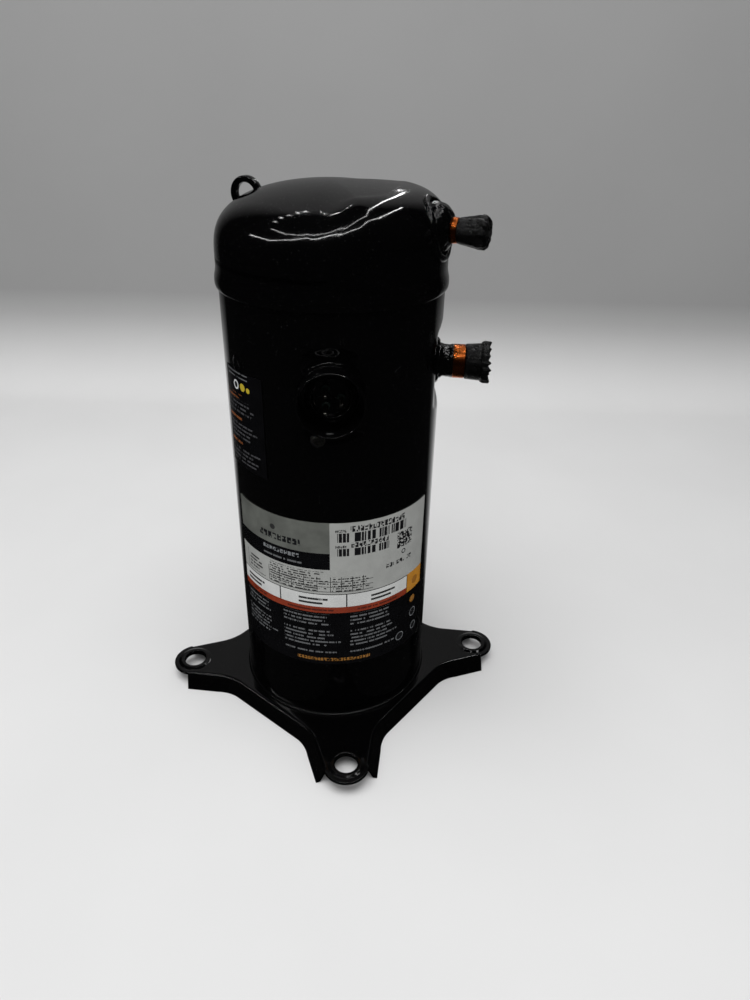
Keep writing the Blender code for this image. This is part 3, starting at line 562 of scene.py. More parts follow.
def cap_dome(azimuth, s, inset=0.0):
    """Radius and height of the cap's skin: s is 0 at the top of its wall, 1 at its centre."""
    lift = 1 - smooth_step(apart(azimuth, DISCHARGE[0]), *CAP_LIFTED)
    low_r = (CAP_R - inset) * cos(s * pi / 2)
    low_z = CAP_LOW_WALL + (CAP_CROWN - CAP_LOW_WALL - inset) * sin(s * pi / 2) ** 0.61
    bend = min(s / 0.5, 1.0) * pi / 2
    out = min((1 - s) / 0.5, 1.0)
    shoulder, crown = CAP_R - CAP_HIGH_ROUND, CAP_CROWN - CAP_HIGH_WALL - CAP_HIGH_ROUND
    high_r = shoulder * out + (CAP_HIGH_ROUND - inset) * cos(bend)
    high_z = CAP_HIGH_WALL + (CAP_HIGH_ROUND - inset) * sin(bend) + crown * (1 - out ** 2)
    return low_r + (high_r - low_r) * lift, low_z + (high_z - low_z) * lift


def cap_surface(azimuth, z):
    """The cap's radius at a height, on its wall or its shoulder."""
    if z <= cap_dome(azimuth, 0)[1]:
        return CAP_R
    start, end = 0.0, 1.0
    for _ in range(24):
        middle = (start + end) / 2
        if cap_dome(azimuth, middle)[1] < z:
            start = middle
        else:
            end = middle
    return cap_dome(azimuth, start)[0]


def make_cap():
    count = 216
    stations = [(i / 60) ** 1.4 for i in range(60)]
    lip = rounded([(CAP_LIP_R - 2.1, CAP_LOW), (CAP_LIP_R - 0.5, CAP_LOW), (CAP_LIP_R, CAP_LOW + 2),
                   (CAP_LIP_R, CAP_LOW + 5.5), (CAP_R, CAP_LOW + 12), (CAP_R, CAP_LOW + 20)], 2.5, 4)
    inner_lip = [(CAP_R - WALL, CAP_LOW + 9), (CAP_LIP_R - 2.15, CAP_LOW + 9)]

    def ring_at(radius, z):
        return [(radius(a) * cos(radians(a)), radius(a) * sin(radians(a)), z(a))
                for a in [360 * i / count for i in range(count)]]

    rings = [[(0, 0, CAP_CROWN)]]
    for s in stations[::-1]:
        rings.append(ring_at(lambda a: cap_dome(a, s)[0], lambda a: cap_dome(a, s)[1]))
    for r, z in lip[::-1] + inner_lip[::-1]:
        rings.append(ring_at(lambda a: r, lambda a: z))
    for s in stations[::6]:
        rings.append(ring_at(lambda a: cap_dome(a, s, WALL)[0], lambda a: cap_dome(a, s, WALL)[1]))
    rings.append([(0, 0, CAP_CROWN - WALL)])
    cap = piece("top_cap_skin", skin(rings, poles=(True, True)), Matrix.Identity(4), [ENAMEL],
                stands_for=("top_cap",))
    cut(cap, drill(BOSS_R + 0.2, 40, 95), radial(*DISCHARGE))
    cap.data.shade_smooth()
    cap.data.set_sharp_from_angle(angle=radians(40))


def make_lifting_ring():
    """A round-edged strap loop standing on the slope of the cap, welded at both feet."""
    azimuth = degrees(atan2(LOOP["axis"][1], LOOP["axis"][0])) - 90
    lean, half, outer, inner = radians(25), 3.0, 11.8, 7.3
    axis, across = Vector((sin(lean), cos(lean))), Vector((cos(lean), -sin(lean)))
    x, y, z = (value / MM for value in LOOP["pos_m"])
    crown = Vector((x * cos(radians(azimuth)) + y * sin(radians(azimuth)), z))
    head = crown - axis * (outer + inner) / 2

    def foot(radius, side):
        t = 0.0
        while t < 26:
            spot = head + across * side * radius - axis * t
            if spot.y <= CAP_LOW_WALL or spot.x <= cap_surface(azimuth, spot.y):
                break
            t += 0.1
        return max(t + 0.8, 1.2)

    centre_line = (outer + inner) / 2
    path = []
    left, right = foot(centre_line, -1), foot(centre_line, 1)
    for i in range(8):
        path.append((head + across * centre_line - axis * right * (1 - i / 8), across))
    for i in range(33):
        a = pi * i / 32
        out = across * cos(a) + axis * sin(a)
        path.append((head + out * centre_line, out))
    for i in range(1, 9):
        path.append((head - across * centre_line - axis * left * i / 8, -across))
    rings = []
    width = (outer - inner) / 2
    for spot, out in path:
        ring = []
        for k in range(24):
            a = 2 * pi * k / 24
            u = abs(cos(a)) ** 0.45 * (1 if cos(a) > 0 else -1) * width
            v = abs(sin(a)) ** 0.45 * (1 if sin(a) > 0 else -1) * half
            p = spot + out * u
            ring.append((p.x, v, p.y))
        rings.append(ring)
    bm = skin(rings)
    bmesh.ops.holes_fill(bm, edges=[e for e in bm.edges if e.is_boundary])
    piece("lifting_loop", bm, around(azimuth), [ENAMEL], stands_for=("lifting_ring",),
          sharp=50)
    for number, (spot, _) in enumerate((path[0], path[-1])):
        r, z = spot.x, spot.y
        path_points = []
        for i in range(40):
            a = 2 * pi * i / 40
            p = Vector((r, 0, z)) + Vector((across.x, 0, across.y)) * (2.9 * cos(a))
            p += Vector((0, 3.3 * sin(a), 0))
            p = around(azimuth) @ (p * MM) / MM
            out = around(azimuth).to_3x3() @ Vector((axis.x, 0, axis.y))
            out += around(azimuth).to_3x3() @ Vector((across.x * cos(a), sin(a), across.y * cos(a)))
            path_points.append((tuple(p), tuple(out.normalized())))
        weld_bead(f"loop_weld_{number + 1}", path_points, 1.3, 7, ENAMEL, 3 + number)


# ---------------------------------------------------------------- suction and discharge

def make_suction():
    place = radial(*SUCTION)
    end = 100.0
    flat = SHELL_R - FLAT_DEPTH
    neck = rounded([(11.4, 74), (11.4, flat + 0.3), (13.5, flat + 0.3), (13.3, flat + 3.4),
                    (12.1, flat + 5.2), (12.0, 87.6), (12.65, 90.6), (12.6, 91.0), (11.1, 91.0),
                    (11.1, 74)], 0.8)

    def brazed(r, a, z):
        amount = smooth_step(z, 79.5, 81) * (1 - smooth_step(z, 86, 90.5)) * (r > 11.5)
        bump = ripple(r * cos(a), r * sin(a), z, 2.6, 5.0)
        return r + 0.5 * amount * bump, z

    piece("suction_neck", turned(neck, 128, brazed, loop=True), place, [WELD_ENAMEL],
          stands_for=("suction_fitting",), sharp=45)
    tube = rounded([(12.5, 91.3), (12.65, 92), (12.65, end - 0.3), (12.4, end), (11.6, end),
                    (11.55, 92.6), (9.8, 92.4), (9.8, 84.5), (10.8, 84.5), (10.8, 91.3)], 0.3)
    piece("suction_tube", turned(tube, 128, loop=True), place, [COPPER],
          stands_for=("suction_stub",), sharp=45)
    head = rounded([(0, 93.5), (10.6, 93.5), (11.25, 95.4), (11.25, end + 0.35), (12.9, end + 0.35),
                    (13.1, end + 1), (13.9, 111.9), (15.1, 112.5), (15.35, 114), (15.3, 117),
                    (14.4, 118.0), (9, 117.6), (0, 117.4)], 0.55)

    def ragged(r, a, z):
        if r < 12.5 or z < end + 0.3:
            return r, z
        ribs = 0.16 * max(0.0, cos(17 * a)) ** 3 * smooth_step(z, end + 1, end + 3)
        ribs *= 1 - smooth_step(z, 110, 111.8)
        fringe = smooth_step(z, 111.8, 112.8)
        tooth = sin(13 * a + 1.7 * sin(3 * a)) + 0.6 * sin(21 * a + 2.0)
        rough = ripple(r * cos(a), r * sin(a), z, 2.2, 8.0)
        rim = smooth_step(z, 115.5, 118.0)
        radius = r + ribs + fringe * (0.25 * tooth + 0.55 * rough) + 0.12 * rough
        return min(radius, 15.9), z + rim * (0.7 * tooth + 0.9 * rough)

    piece("suction_cap_plug", turned(head, 180, ragged), place, [RUBBER], "suction_cover",
          stands_for=("suction_plug",), sharp=70)
    weld_bead("suction_braze", surface_path(SUCTION, shell_r, 14.6), 2.9, 15, WELD_ENAMEL, 9)


def make_discharge():
    place = radial(*DISCHARGE)
    end = 91.0
    boss = rounded([(6.8, 70), (BOSS_R, 70), (BOSS_R, 76.5), (BOSS_R - 1.5, 81.4), (12.6, 84.7),
                    (9.6, 86.3), (8.6, 86.8), (8.42, 79.8), (6.8, 79.8)], 3.0, 5)

    def cast(r, a, z):
        dents = (r > 9) * (ripple(r * cos(a), r * sin(a), z, 5.0, 2.0)
                           + 0.5 * ripple(r * cos(a), r * sin(a), z, 2.2, 3.0))
        return r + 0.45 * dents, z + 0.5 * dents * (z > 84)

    piece("discharge_boss", turned(boss, 160, cast, loop=True), place, [WELD_ENAMEL],
          stands_for=("discharge_fitting",), sharp=55)
    tube = rounded([(8.1, 80.2), (8.1, 86.9), (8.55, 87.8), (8.3, 88.8), (8.1, end - 0.3),
                    (7.9, end), (7.1, end), (7.0, 80.2)], 0.4)

    def swaged(r, a, z):
        amount = smooth_step(z, 86.6, 87.6) * (1 - smooth_step(z, 89.6, 90.6)) * (r > 7.6)
        return r + 0.3 * amount * ripple(r * cos(a), r * sin(a), z, 2.4, 4.0), z

    piece("discharge_tube", turned(tube, 128, swaged, loop=True), place, [COPPER],
          stands_for=("discharge_stub",), sharp=45)
    head = rounded([(0, 85.0), (6.1, 85.0), (6.7, 86.8), (6.7, end + 0.35), (8.0, end + 0.35),
                    (8.35, end + 1.2), (10.3, 104.5), (10.75, 107.6), (10.2, 109.8), (8.4, 111.6),
                    (4, 112.3), (0, 112.4)], 0.9, 4)

    def lumpy(r, a, z):
        if z < end + 0.4 or r < 1:
            return r, z
        facet = 0.4 * cos(8 * a + 0.6) * smooth_step(z, 98, 107)
        folds = ripple(r * cos(a), r * sin(a), z * 0.7, 2.2, 12.0)
        lump = 0.75 * folds * smooth_step(z, end + 0.5, end + 4)
        return min(r + facet + lump, 11.3), z + 0.6 * folds * smooth_step(z, 107, 110)

    piece("discharge_cap_plug", turned(head, 160, lumpy), place, [RUBBER], "discharge_cover",
          stands_for=("discharge_plug",), sharp=70)
    weld_bead("discharge_weld", surface_path(DISCHARGE, cap_surface, BOSS_R + 1.2), 2.5, 41,
              WELD_ENAMEL, 14)


# ---------------------------------------------------------------- electrical terminal

def make_terminal():
    place = radial(*TERMINAL)
    flat = SHELL_R - FLAT_DEPTH
    cup = rounded([(0, 72.8), (17.9, 72.8), (18.1, 79.4), (17.2, 80.6), (14.6, 81.4), (13.8, 81.6),
                   (13.1, 80.9), (12.9, 78.6), (12.0, 77.9), (0, 77.7)], 0.7)
    body = piece("terminal_cup", turned(cup, 96), place, [ENAMEL],
                 stands_for=("terminal_body",), sharp=50)
    fence = rounded([(21.8, flat + 0.3), (23.4, flat + 0.3), (23.4, 94.9), (22.9, 95.6),
                     (22.3, 95.6), (21.8, 94.9)], 0.5)
    piece("terminal_guard", turned(fence, 144, loop=True), place, [ENAMEL],
          stands_for=("terminal_fence",), sharp=50)
    weld_bead("guard_weld", surface_path(TERMINAL, shell_r, 23.8), 0.9, 21, ENAMEL, 20)
    for number in range(3):
        angle = radians(90 + 120 * number)
        spot = place @ Matrix.Translation(Vector((7.0 * cos(angle), 7.0 * sin(angle), 0)) * MM)
        cut(body, drill(1.95, 60, 95, 24), spot)
        pin = rounded([(0, 66), (1.55, 66), (1.6, 67), (1.6, 92.6), (1.1, 93.8), (0, 94.0)], 0.5)
        piece(f"power_pin_{number + 1}", turned(pin, 32), spot, [PIN],
              stands_for=(f"terminal_pin_{number + 1}",), sharp=50)
        bead = [(1.72, 77.2), (3.0, 77.9), (2.7, 78.6), (2.0, 79.1), (1.72, 79.3)]
        piece(f"glass_seal_{number + 1}", turned(rounded(bead, 0.3), 32, loop=True), spot,
              [GLASS_SEAL], sharp=60)
    for number, tilt in enumerate((200, 240, 330)):
        angle = radians(tilt)
        spot = place @ Matrix.Translation(
            Vector((23.3 * cos(angle), 23.3 * sin(angle), 93.6)) * MM)
        spot = spot @ Matrix.Rotation(angle, 4, "Z") @ Matrix.Rotation(pi / 2, 4, "Y")
        bump = rounded([(0, -0.6), (1.5, -0.6), (1.5, 0.1), (1.1, 0.9), (0, 1.2)], 0.5)
        piece(f"cover_catch_{number + 1}", turned(bump, 24), spot, [ENAMEL], sharp=60)


def make_ground_screw():
    """A hexagon-flange screw with a cross recess."""
    place = radial(*GROUND)
    profile = rounded([(0, 71), (2.1, 71), (2.1, 82.0), (5.2, 82.0), (5.2, 82.9), (4.3, 83.3),
                       (4.1, 85.2), (3.4, 85.7), (0, 85.7)], 0.3)

    def hexagon(r, a, z):
        if r > 3 and z > 83.2:
            side = (a + pi / 6) % (pi / 3) - pi / 6
            return min(r, 3.75 / cos(side)) if r > 3.7 else r, z
        return r, z

    screw = piece("earth_screw", turned(profile, 72, hexagon), place, [ZINC],
                  stands_for=("ground_screw",), sharp=40)
    for turn in (0, 90):
        slot = bmesh.new()
        bmesh.ops.create_cube(slot, size=1.0,
                              matrix=Matrix.Diagonal((0.9 * MM, 4.6 * MM, 2.4 * MM, 1)))
        cut(screw, slot, place @ Matrix.Translation((0, 0, 85.7 * MM))
            @ Matrix.Rotation(radians(turn + 20), 4, "Z"))


# ---------------------------------------------------------------- mounting base

TIP_R, TAPER, FILLET, SIDE = 19.2, radians(12.6), 40.0, 90.0
FLARE, ARM_FLARE = 5.0, 7.5        # lean of the flange at the floor: along the sides, the arms


def base_quarter():
    """Edge of the arm towards +X+Y, as (spot, outward direction, flare or None)."""
    lean = pi / 4 + TAPER
    out = Vector((sin(lean), -cos(lean)))
    along = Vector((cos(lean), sin(lean)))
    touch = Vector((HOLE, HOLE)) + out * TIP_R
    corner = touch - along * ((touch.x - SIDE) / along.x)
    turn = pi / 2 - lean
    centre = corner + Vector((FILLET, -FILLET * (1 - cos(turn)) / sin(turn)))
    half = []
    for i in range(17):
        angle = pi - turn * i / 16
        direction = Vector((cos(angle), sin(angle)))
        half.append((centre + FILLET * direction, -direction, FLARE + (ARM_FLARE - FLARE) * i / 16))
    last = half[-1][0]
    for i in range(1, 9):
        half.append((last + (touch - last) * i / 8, out, ARM_FLARE))
    tip = []
    first = lean - pi / 2
    for i in range(1, 40):
        angle = first + (pi / 2 - 2 * first) * i / 40
        direction = Vector((cos(angle), sin(angle)))
        tip.append((Vector((HOLE, HOLE)) + direction * TIP_R, direction, None))
    mirrored = [(Vector((p.y, p.x)), Vector((n.y, n.x)), f) for p, n, f in half[::-1]]
    return half + tip + mirrored


def make_base():
    """Stamped base: flat sheet, bent down to a flared flange except round the arm tips."""
    edge = []
    for k in range(4):
        turn = Matrix.Rotation(k * pi / 2, 2)
        edge += [(turn @ p, turn @ n, f) for p, n, f in base_quarter()]
    bend, sheet = 4.0, 3.0

    def section(depth, flare):
        """Half section of the flange: (outward offset, height), from flat to floor."""
        radius = bend - depth
        points = [(-bend * 1.02 - 1.0, BASE_TOP - depth)]
        for i in range(7):
            a = (pi / 2 - atan2(flare, BASE_TOP)) * i / 6
            points.append((-bend * 0.82 + radius * sin(a), BASE_TOP - bend + radius * cos(a)))
        last = points[-1]
        drop = last[1]
        points.append((last[0] + drop * flare / BASE_TOP * 0.5, drop * 0.5))
        points.append((last[0] + drop * flare / BASE_TOP, 0.0))
        return points

    def rim():
        """Section of the cut edge round an arm tip, with its corners rubbed round."""
        round_off, quarter = 0.9, []
        for i in range(9):
            a = (pi / 2) * i / 8
            quarter.append((-round_off + round_off * sin(a), round_off * cos(a) - round_off))
        over = [(inner, BASE_TOP)] + [(x, BASE_TOP + z) for x, z in quarter]
        under = [(inner, BASE_TOP - sheet)]
        under += [(x, BASE_TOP - sheet - z) for x, z in quarter]
        return over + under[::-1]

    bm = bmesh.new()
    inner = section(0.0, FLARE)[0][0]
    columns = []
    for spot, out, flare in edge:
        points = section(0.0, flare) + section(sheet, flare)[::-1] if flare else rim()
        columns.append([bm.verts.new(Vector((*(spot + out * x), z)) * MM) for x, z in points])
    for a, b in zip(columns, columns[1:] + columns[:1]):
        for k in range(len(a) - 1):
            bm.faces.new((a[k], b[k], b[k + 1], a[k + 1]))
    bm.faces.new([column[0] for column in columns])
    bm.faces.new([column[-1] for column in columns[::-1]])
    base = piece("base_plate", bm, Matrix.Identity(4), [ENAMEL], stands_for=("mounting_base",),
                 sharp=38)
    cut(base, drill(72.0, -5, 20, 160), Matrix.Identity(4))
    for k in range(4):
        spot = around(45 + 90 * k, HOLE * sqrt(2))
        cut(base, drill(9.5, -5, 20, 64), spot)
        collar = rounded([(9.5, BASE_TOP - 0.6), (9.5, BASE_TOP + 0.5), (10.3, BASE_TOP + 1.1),
                          (12.6, BASE_TOP + 1.1), (14.4, BASE_TOP + 0.35), (15.4, BASE_TOP + 0.05),
                          (15.4, BASE_TOP - 0.6)], 0.5)
        piece(f"hole_collar_{k + 1}", turned(collar, 72, loop=True), spot, [ENAMEL],
              sharp=50)
    base.data.shade_smooth()
    base.data.set_sharp_from_angle(angle=radians(38))
    weld_bead("base_seam", circle_path(SHELL_R + 0.9, BASE_TOP + 0.7, 0.9), 1.5, 150, ENAMEL, 31)


# ---------------------------------------------------------------- printed labels


LABEL_THICK = 0.35


class Print(Nodes):
    """A label film: a ground colour with marks printed at azimuths and heights."""

    def __init__(self, name, ground, rough, metallic=0.0, grain=0.0):
        super().__init__(name)
        split = self.tree.nodes.new("ShaderNodeSeparateXYZ")
        self.link(self.place, split.inputs[0])
        angle = self.math("ARCTAN2", split.outputs["Y"], split.outputs["X"])
        self.azimuth = self.math("MULTIPLY", angle, 180 / pi)
        self.height = self.math("MULTIPLY", split.outputs["Z"], 1 / MM)
        cloud = self.ramp(self.noise(70, 3.0), 0.35, 0.7, 0.0, 1.0)
        self.colour = self.mix(cloud, rgb(*ground), rgb(*(c * (1 - grain) for c in ground)))
        self.rough, self.metallic = rough, metallic
        self.ink = 0.0

    def cells(self, value, pitch):
        return self.math("FLOOR", self.math("DIVIDE", value, pitch))

    def joined(self, x, y):
        node = self.tree.nodes.new("ShaderNodeCombineXYZ")
        self.link(x, node.inputs["X"])
        self.link(y, node.inputs["Y"])
        return node.outputs[0]

    def window(self, zone):
        """1 inside the zone (azimuth from, to, height from, to), else 0."""
        a0, a1, z0, z1 = zone
        across = self.math("COMPARE", self.azimuth, (a0 + a1) / 2, (a1 - a0) / 2)
        up = self.math("COMPARE", self.height, (z0 + z1) / 2, (z1 - z0) / 2)
        return self.math("MULTIPLY", across, up)

    def add(self, zone, colour, pattern=None):
        mask = self.window(zone)
        if pattern:
            mask = self.math("MULTIPLY", mask, pattern)
        self.colour = self.mix(mask, self.colour, rgb(*colour))
        self.ink = self.math("MAXIMUM", self.ink, mask)
        return self

    def random(self, x, y=0.0):
        node = self.tree.nodes.new("ShaderNodeTexWhiteNoise")
        node.noise_dimensions = "2D"
        self.link(self.joined(x, y), node.inputs["Vector"])
        return node.outputs["Value"]

    def all_of(self, *masks):
        result = masks[0]
        for mask in masks[1:]:
            result = self.math("MULTIPLY", result, mask)
        return result

    def text(self, zone, colour, pitch, duty=0.42, fill=0.6, paragraph=0):
        """Rows of uneven dashes that stand for lines of small print: ragged at the right,
        with every so many rows left out between paragraphs."""
        row = self.cells(self.height, pitch)
        in_row = self.math("COMPARE",
                           self.math("FRACT", self.math("DIVIDE", self.height, pitch)), 0.5, duty / 2)
        place = self.joined(self.math("MULTIPLY", self.azimuth, 0.75), self.math("MULTIPLY", row, 7.3))
        words = self.math("GREATER_THAN", self.noise(1.0, 1.0, vector=place), 0.72 - fill * 0.45)
        ragged = self.math("MULTIPLY", self.random(row), (zone[1] - zone[0]) * 0.3)
        kept = self.math("LESS_THAN", self.math("ADD", self.azimuth, ragged), zone[1])
        if paragraph:
            share = self.math("FRACT", self.math("DIVIDE", self.math("ADD", row, 0.5), paragraph))
            kept = self.all_of(kept, self.math("GREATER_THAN", share, 1.0 / paragraph))
        return self.add(zone, colour, self.all_of(in_row, words, kept))

    def glyphs(self, zone, colour, cell, rows=4):
        """A row of broken-up blocks in place of large characters."""
        strokes = self.random(self.cells(self.azimuth, cell / 3), self.cells(
            self.height, (zone[3] - zone[2]) / rows))
        gap = self.math("LESS_THAN", self.math("FRACT", self.math("DIVIDE", self.azimuth, cell)), 0.78)
        return self.add(zone, colour, self.all_of(self.math("GREATER_THAN", strokes, 0.3), gap))

    def disc(self, azimuth, height, radius, colour):
        """A plain round patch."""
        across = self.math("MULTIPLY", self.math("SUBTRACT", self.azimuth, azimuth),
                           radians(1) * SHELL_R)
        up = self.math("SUBTRACT", self.height, height)
        apart = self.math("ADD", self.math("MULTIPLY", across, across), self.math("MULTIPLY", up, up))
        zone = (azimuth - 8, azimuth + 8, height - 8, height + 8)
        return self.add(zone, colour, self.math("LESS_THAN", apart, radius ** 2))

    def bars(self, zone, colour, pitch=0.42):
        strokes = self.random(self.cells(self.azimuth, pitch))
        return self.add(zone, colour, self.math("GREATER_THAN", strokes, 0.42))

    def checks(self, zone, colour, pitch_azimuth, pitch_height):
        strokes = self.random(self.cells(self.azimuth, pitch_azimuth),
                              self.cells(self.height, pitch_height))
        return self.add(zone, colour, self.math("GREATER_THAN", strokes, 0.42))

    def ruled(self, zone, colour, columns, rows, line=0.5):
        """A table's ruled lines: columns and rows are the number of cells."""
        a0, a1, z0, z1 = zone
        wide, tall = (a1 - a0) / columns, (z1 - z0) / rows
        u = self.math("FRACT", self.math("DIVIDE", self.math("SUBTRACT", self.azimuth, a0), wide))
        v = self.math("FRACT", self.math("DIVIDE", self.math("SUBTRACT", self.height, z0), tall))
        line_u, line_v = line / (wide * radians(1) * SHELL_R), line / tall
        pattern = self.math("MAXIMUM", self.math("LESS_THAN", u, line_u),
                            self.math("LESS_THAN", v, line_v))
        return self.add(zone, colour, pattern)

    def done(self):
        grain = self.noise(900, 2.0)
        self.bump(grain, 0.10, 0.08)
        rough = self.ramp(grain, 0.3, 0.7, self.rough, self.rough + 0.08)
        metallic = self.math("MULTIPLY", self.metallic, self.math("SUBTRACT", 1.0, self.ink))
        return self.set(Base_Color=self.colour, Roughness=rough, Metallic=metallic)


INK, GREY, DIM = (0.008, 0.008, 0.010), (0.20, 0.21, 0.22), (0.13, 0.135, 0.14)
AMBER, RED, DULL_AMBER = (0.58, 0.24, 0.012), (0.30, 0.034, 0.006), (0.30, 0.13, 0.02)
SILVER, DARK_PRINT = (0.31, 0.325, 0.295), (0.03, 0.03, 0.03)

# Printed zones of the main label: azimuth from, to (degrees), height from, to (millimetres).
LEFT, MIDDLE, RIGHT, RED_END = -112.0, -51.0, 12.0, -3.0
FOOT, HEAD = low("nameplate_label").z, high("nameplate_label").z
SILVER_ZONE = (LEFT, MIDDLE, 186.0, HEAD)
TITLE_ZONE = (LEFT, MIDDLE, 171.0, 186.0)
DATA_ZONE = (MIDDLE, RIGHT, 147.5, HEAD)
TABLE_ZONE = (LEFT, MIDDLE, 147.5, 171.0)
CELLS_ZONE = (LEFT, RED_END, 134.5, 147.5)
RED_ZONE = (LEFT, RED_END, 128.5, 134.5)
AMBER_ZONE = (RED_END, RIGHT, 128.5, 147.5)
NOTES_ZONE = (LEFT, RIGHT, FOOT, HEAD)


def label_films():
    silver = Print("silver_film", SILVER, 0.30, 0.55, 0.3)
    silver.glyphs((-93, -67, 191, 196.5), INK, 3.1)
    silver.disc(-83.5, 202, 2.4, DARK_PRINT)
    title = Print("title_film", (0.004, 0.004, 0.005), 0.22, 0.0, 0.3)
    title.glyphs((-91, -68, 180, 183.5), GREY, 2.4, 3)
    title.text((-91, -66, 174.5, 177.5), DIM, 3.4, 0.6, 0.7)
    data = Print("data_film", (0.50, 0.51, 0.49), 0.34, 0.2, 0.12)
    data.glyphs((-40, -7, 205.2, 210.4), INK, 2.3)
    data.glyphs((-48, -42, 205.2, 207.6), INK, 1.0, 3)
    data.bars((-47, -6, 196.2, 204.4), INK)
    data.glyphs((-40, -18, 191.0, 195.6), INK, 2.2)
    data.glyphs((-48, -42, 191.0, 193.4), INK, 1.0, 3)
    data.bars((-47, -17, 183.6, 190.4), INK)
    data.checks((-12, -0.5, 179, 194), INK, 0.82, 1.15)
    data.disc(-7, 174.5, 2.2, INK)
    data.disc(-7, 174.5, 1.3, (0.40, 0.41, 0.40))
    for start, end in ((-19, -14), (-12, -6.5), (-4, -0.5)):
        data.glyphs((start, end, 164.5, 168.5), INK, 2.4)
    data.ruled((-51, -27, 149.5, 164), INK, 4, 3)
    data.text((-50, -28, 150, 164), DARK_PRINT, 2.3, 0.5, 0.55)
    table = Print("table_film", (0.50, 0.51, 0.49), 0.34, 0.2, 0.12)
    table.ruled((-107, -91, 150, 167), INK, 1, 1)
    table.ruled((-88, -51, 149.5, 164), INK, 5, 3)
    table.text((-105, -93, 152, 165), DARK_PRINT, 3.3, 0.5, 0.7)
    table.text((-87, -51, 150, 169), DARK_PRINT, 2.3, 0.5, 0.55)
    cells = Print("cell_film", (0.66, 0.67, 0.66), 0.36, 0.0, 0.10)
    for start, end in ((-108, -92), (-69, -52), (-28, -12)):
        cells.text((start, end, 137, 144.9), DARK_PRINT, 4.0, 0.5, 0.85)
    for separator in (-80.5, -42.0):
        cells.add((separator - 0.35, separator + 0.35, 134.5, 147.5), INK)
    cells.add((LEFT, RED_END, 146.8, 147.5), INK)
    red = Print("red_film", RED, 0.34, 0.0, 0.25)
    for start, end in ((-104, -90), (-76, -46), (-36, -8)):
        red.text((start, end, 130, 133.5), (0.10, 0.012, 0.004), 3.5, 0.5, 0.7)
    amber = Print("amber_film", AMBER, 0.36, 0.0, 0.2)
    amber.add((RED_END, RED_END + 0.5, 128.5, 147.5), INK)
    amber.disc(5.0, 137, 4.0, (0.36, 0.14, 0.008))
    notes = Print("notes_film", (0.004, 0.004, 0.005), 0.26, 0.0, 0.3)
    for start, end, foot in ((-110, -83, 90), (-79, -44, 85), (-40, -8, 85)):
        notes.text((start, end, foot, 127), DIM, 3.7, 0.42, 0.62, 6)
    notes.glyphs((-71, -28, 77.6, 80.8), DULL_AMBER, 1.9, 3)
    notes.disc(3.5, 118, 3.6, DULL_AMBER)
    for azimuth, height, radius in ((4.5, 103, 4.4), (6, 87, 4.0), (-7, 86, 4.4)):
        notes.disc(azimuth, height, radius, GREY)
        notes.disc(azimuth, height, radius - 0.7, (0.012, 0.012, 0.013))
    return [film.done() for film in (silver, title, data, table, cells, red, amber, notes)]


def sheet_of(name, outline, zones, films, lift, stands_for, columns_every=1.5):
    """A thin curved sheet on the shell, split at its printed zones."""
    left, right, foot, head = outline
    marks_a, marks_z = {left, right}, {foot, head}
    for a0, a1, z0, z1 in zones:
        marks_a |= {a0, a1}
        marks_z |= {z0, z1}
    across, up = [], []
    for start, end in zip(sorted(marks_a), sorted(marks_a)[1:]):
        steps = max(1, round((end - start) / columns_every))
        across += [start + (end - start) * i / steps for i in range(steps)]
    across.append(right)
    for start, end in zip(sorted(marks_z), sorted(marks_z)[1:]):
        steps = max(1, round((end - start) / 4))
        up += [start + (end - start) * i / steps for i in range(steps)]
    up.append(head)

    bm = bmesh.new()
    grids = []
    for depth in (LABEL_THICK, 0.0):
        grids.append([[bm.verts.new(Vector(((SHELL_R + lift + depth) * cos(radians(a)),
                                            (SHELL_R + lift + depth) * sin(radians(a)), z)) * MM)
                       for a in across] for z in up])
    for side, grid in enumerate(grids):
        for j in range(len(up) - 1):
            for i in range(len(across) - 1):
                face = bm.faces.new((grid[j][i], grid[j][i + 1], grid[j + 1][i + 1], grid[j + 1][i]))
                a, z = (across[i] + across[i + 1]) / 2, (up[j] + up[j + 1]) / 2
                for k, (a0, a1, z0, z1) in enumerate(zones):
                    if a0 < a < a1 and z0 < z < z1:
                        face.material_index = k
                        break
    front, back = grids
    for j in range(len(up) - 1):
        for i in (0, len(across) - 1):
            bm.faces.new((front[j][i], front[j + 1][i], back[j + 1][i], back[j][i]))
    for i in range(len(across) - 1):
        for j in (0, len(up) - 1):
            bm.faces.new((front[j][i], front[j][i + 1], back[j][i + 1], back[j][i]))
    for face in bm.faces:
        if abs(face.normal.z) > 0.9:
            face.material_index = len(zones) - 1
    return piece(name, bm, Matrix.Identity(4), films, stands_for=stands_for)


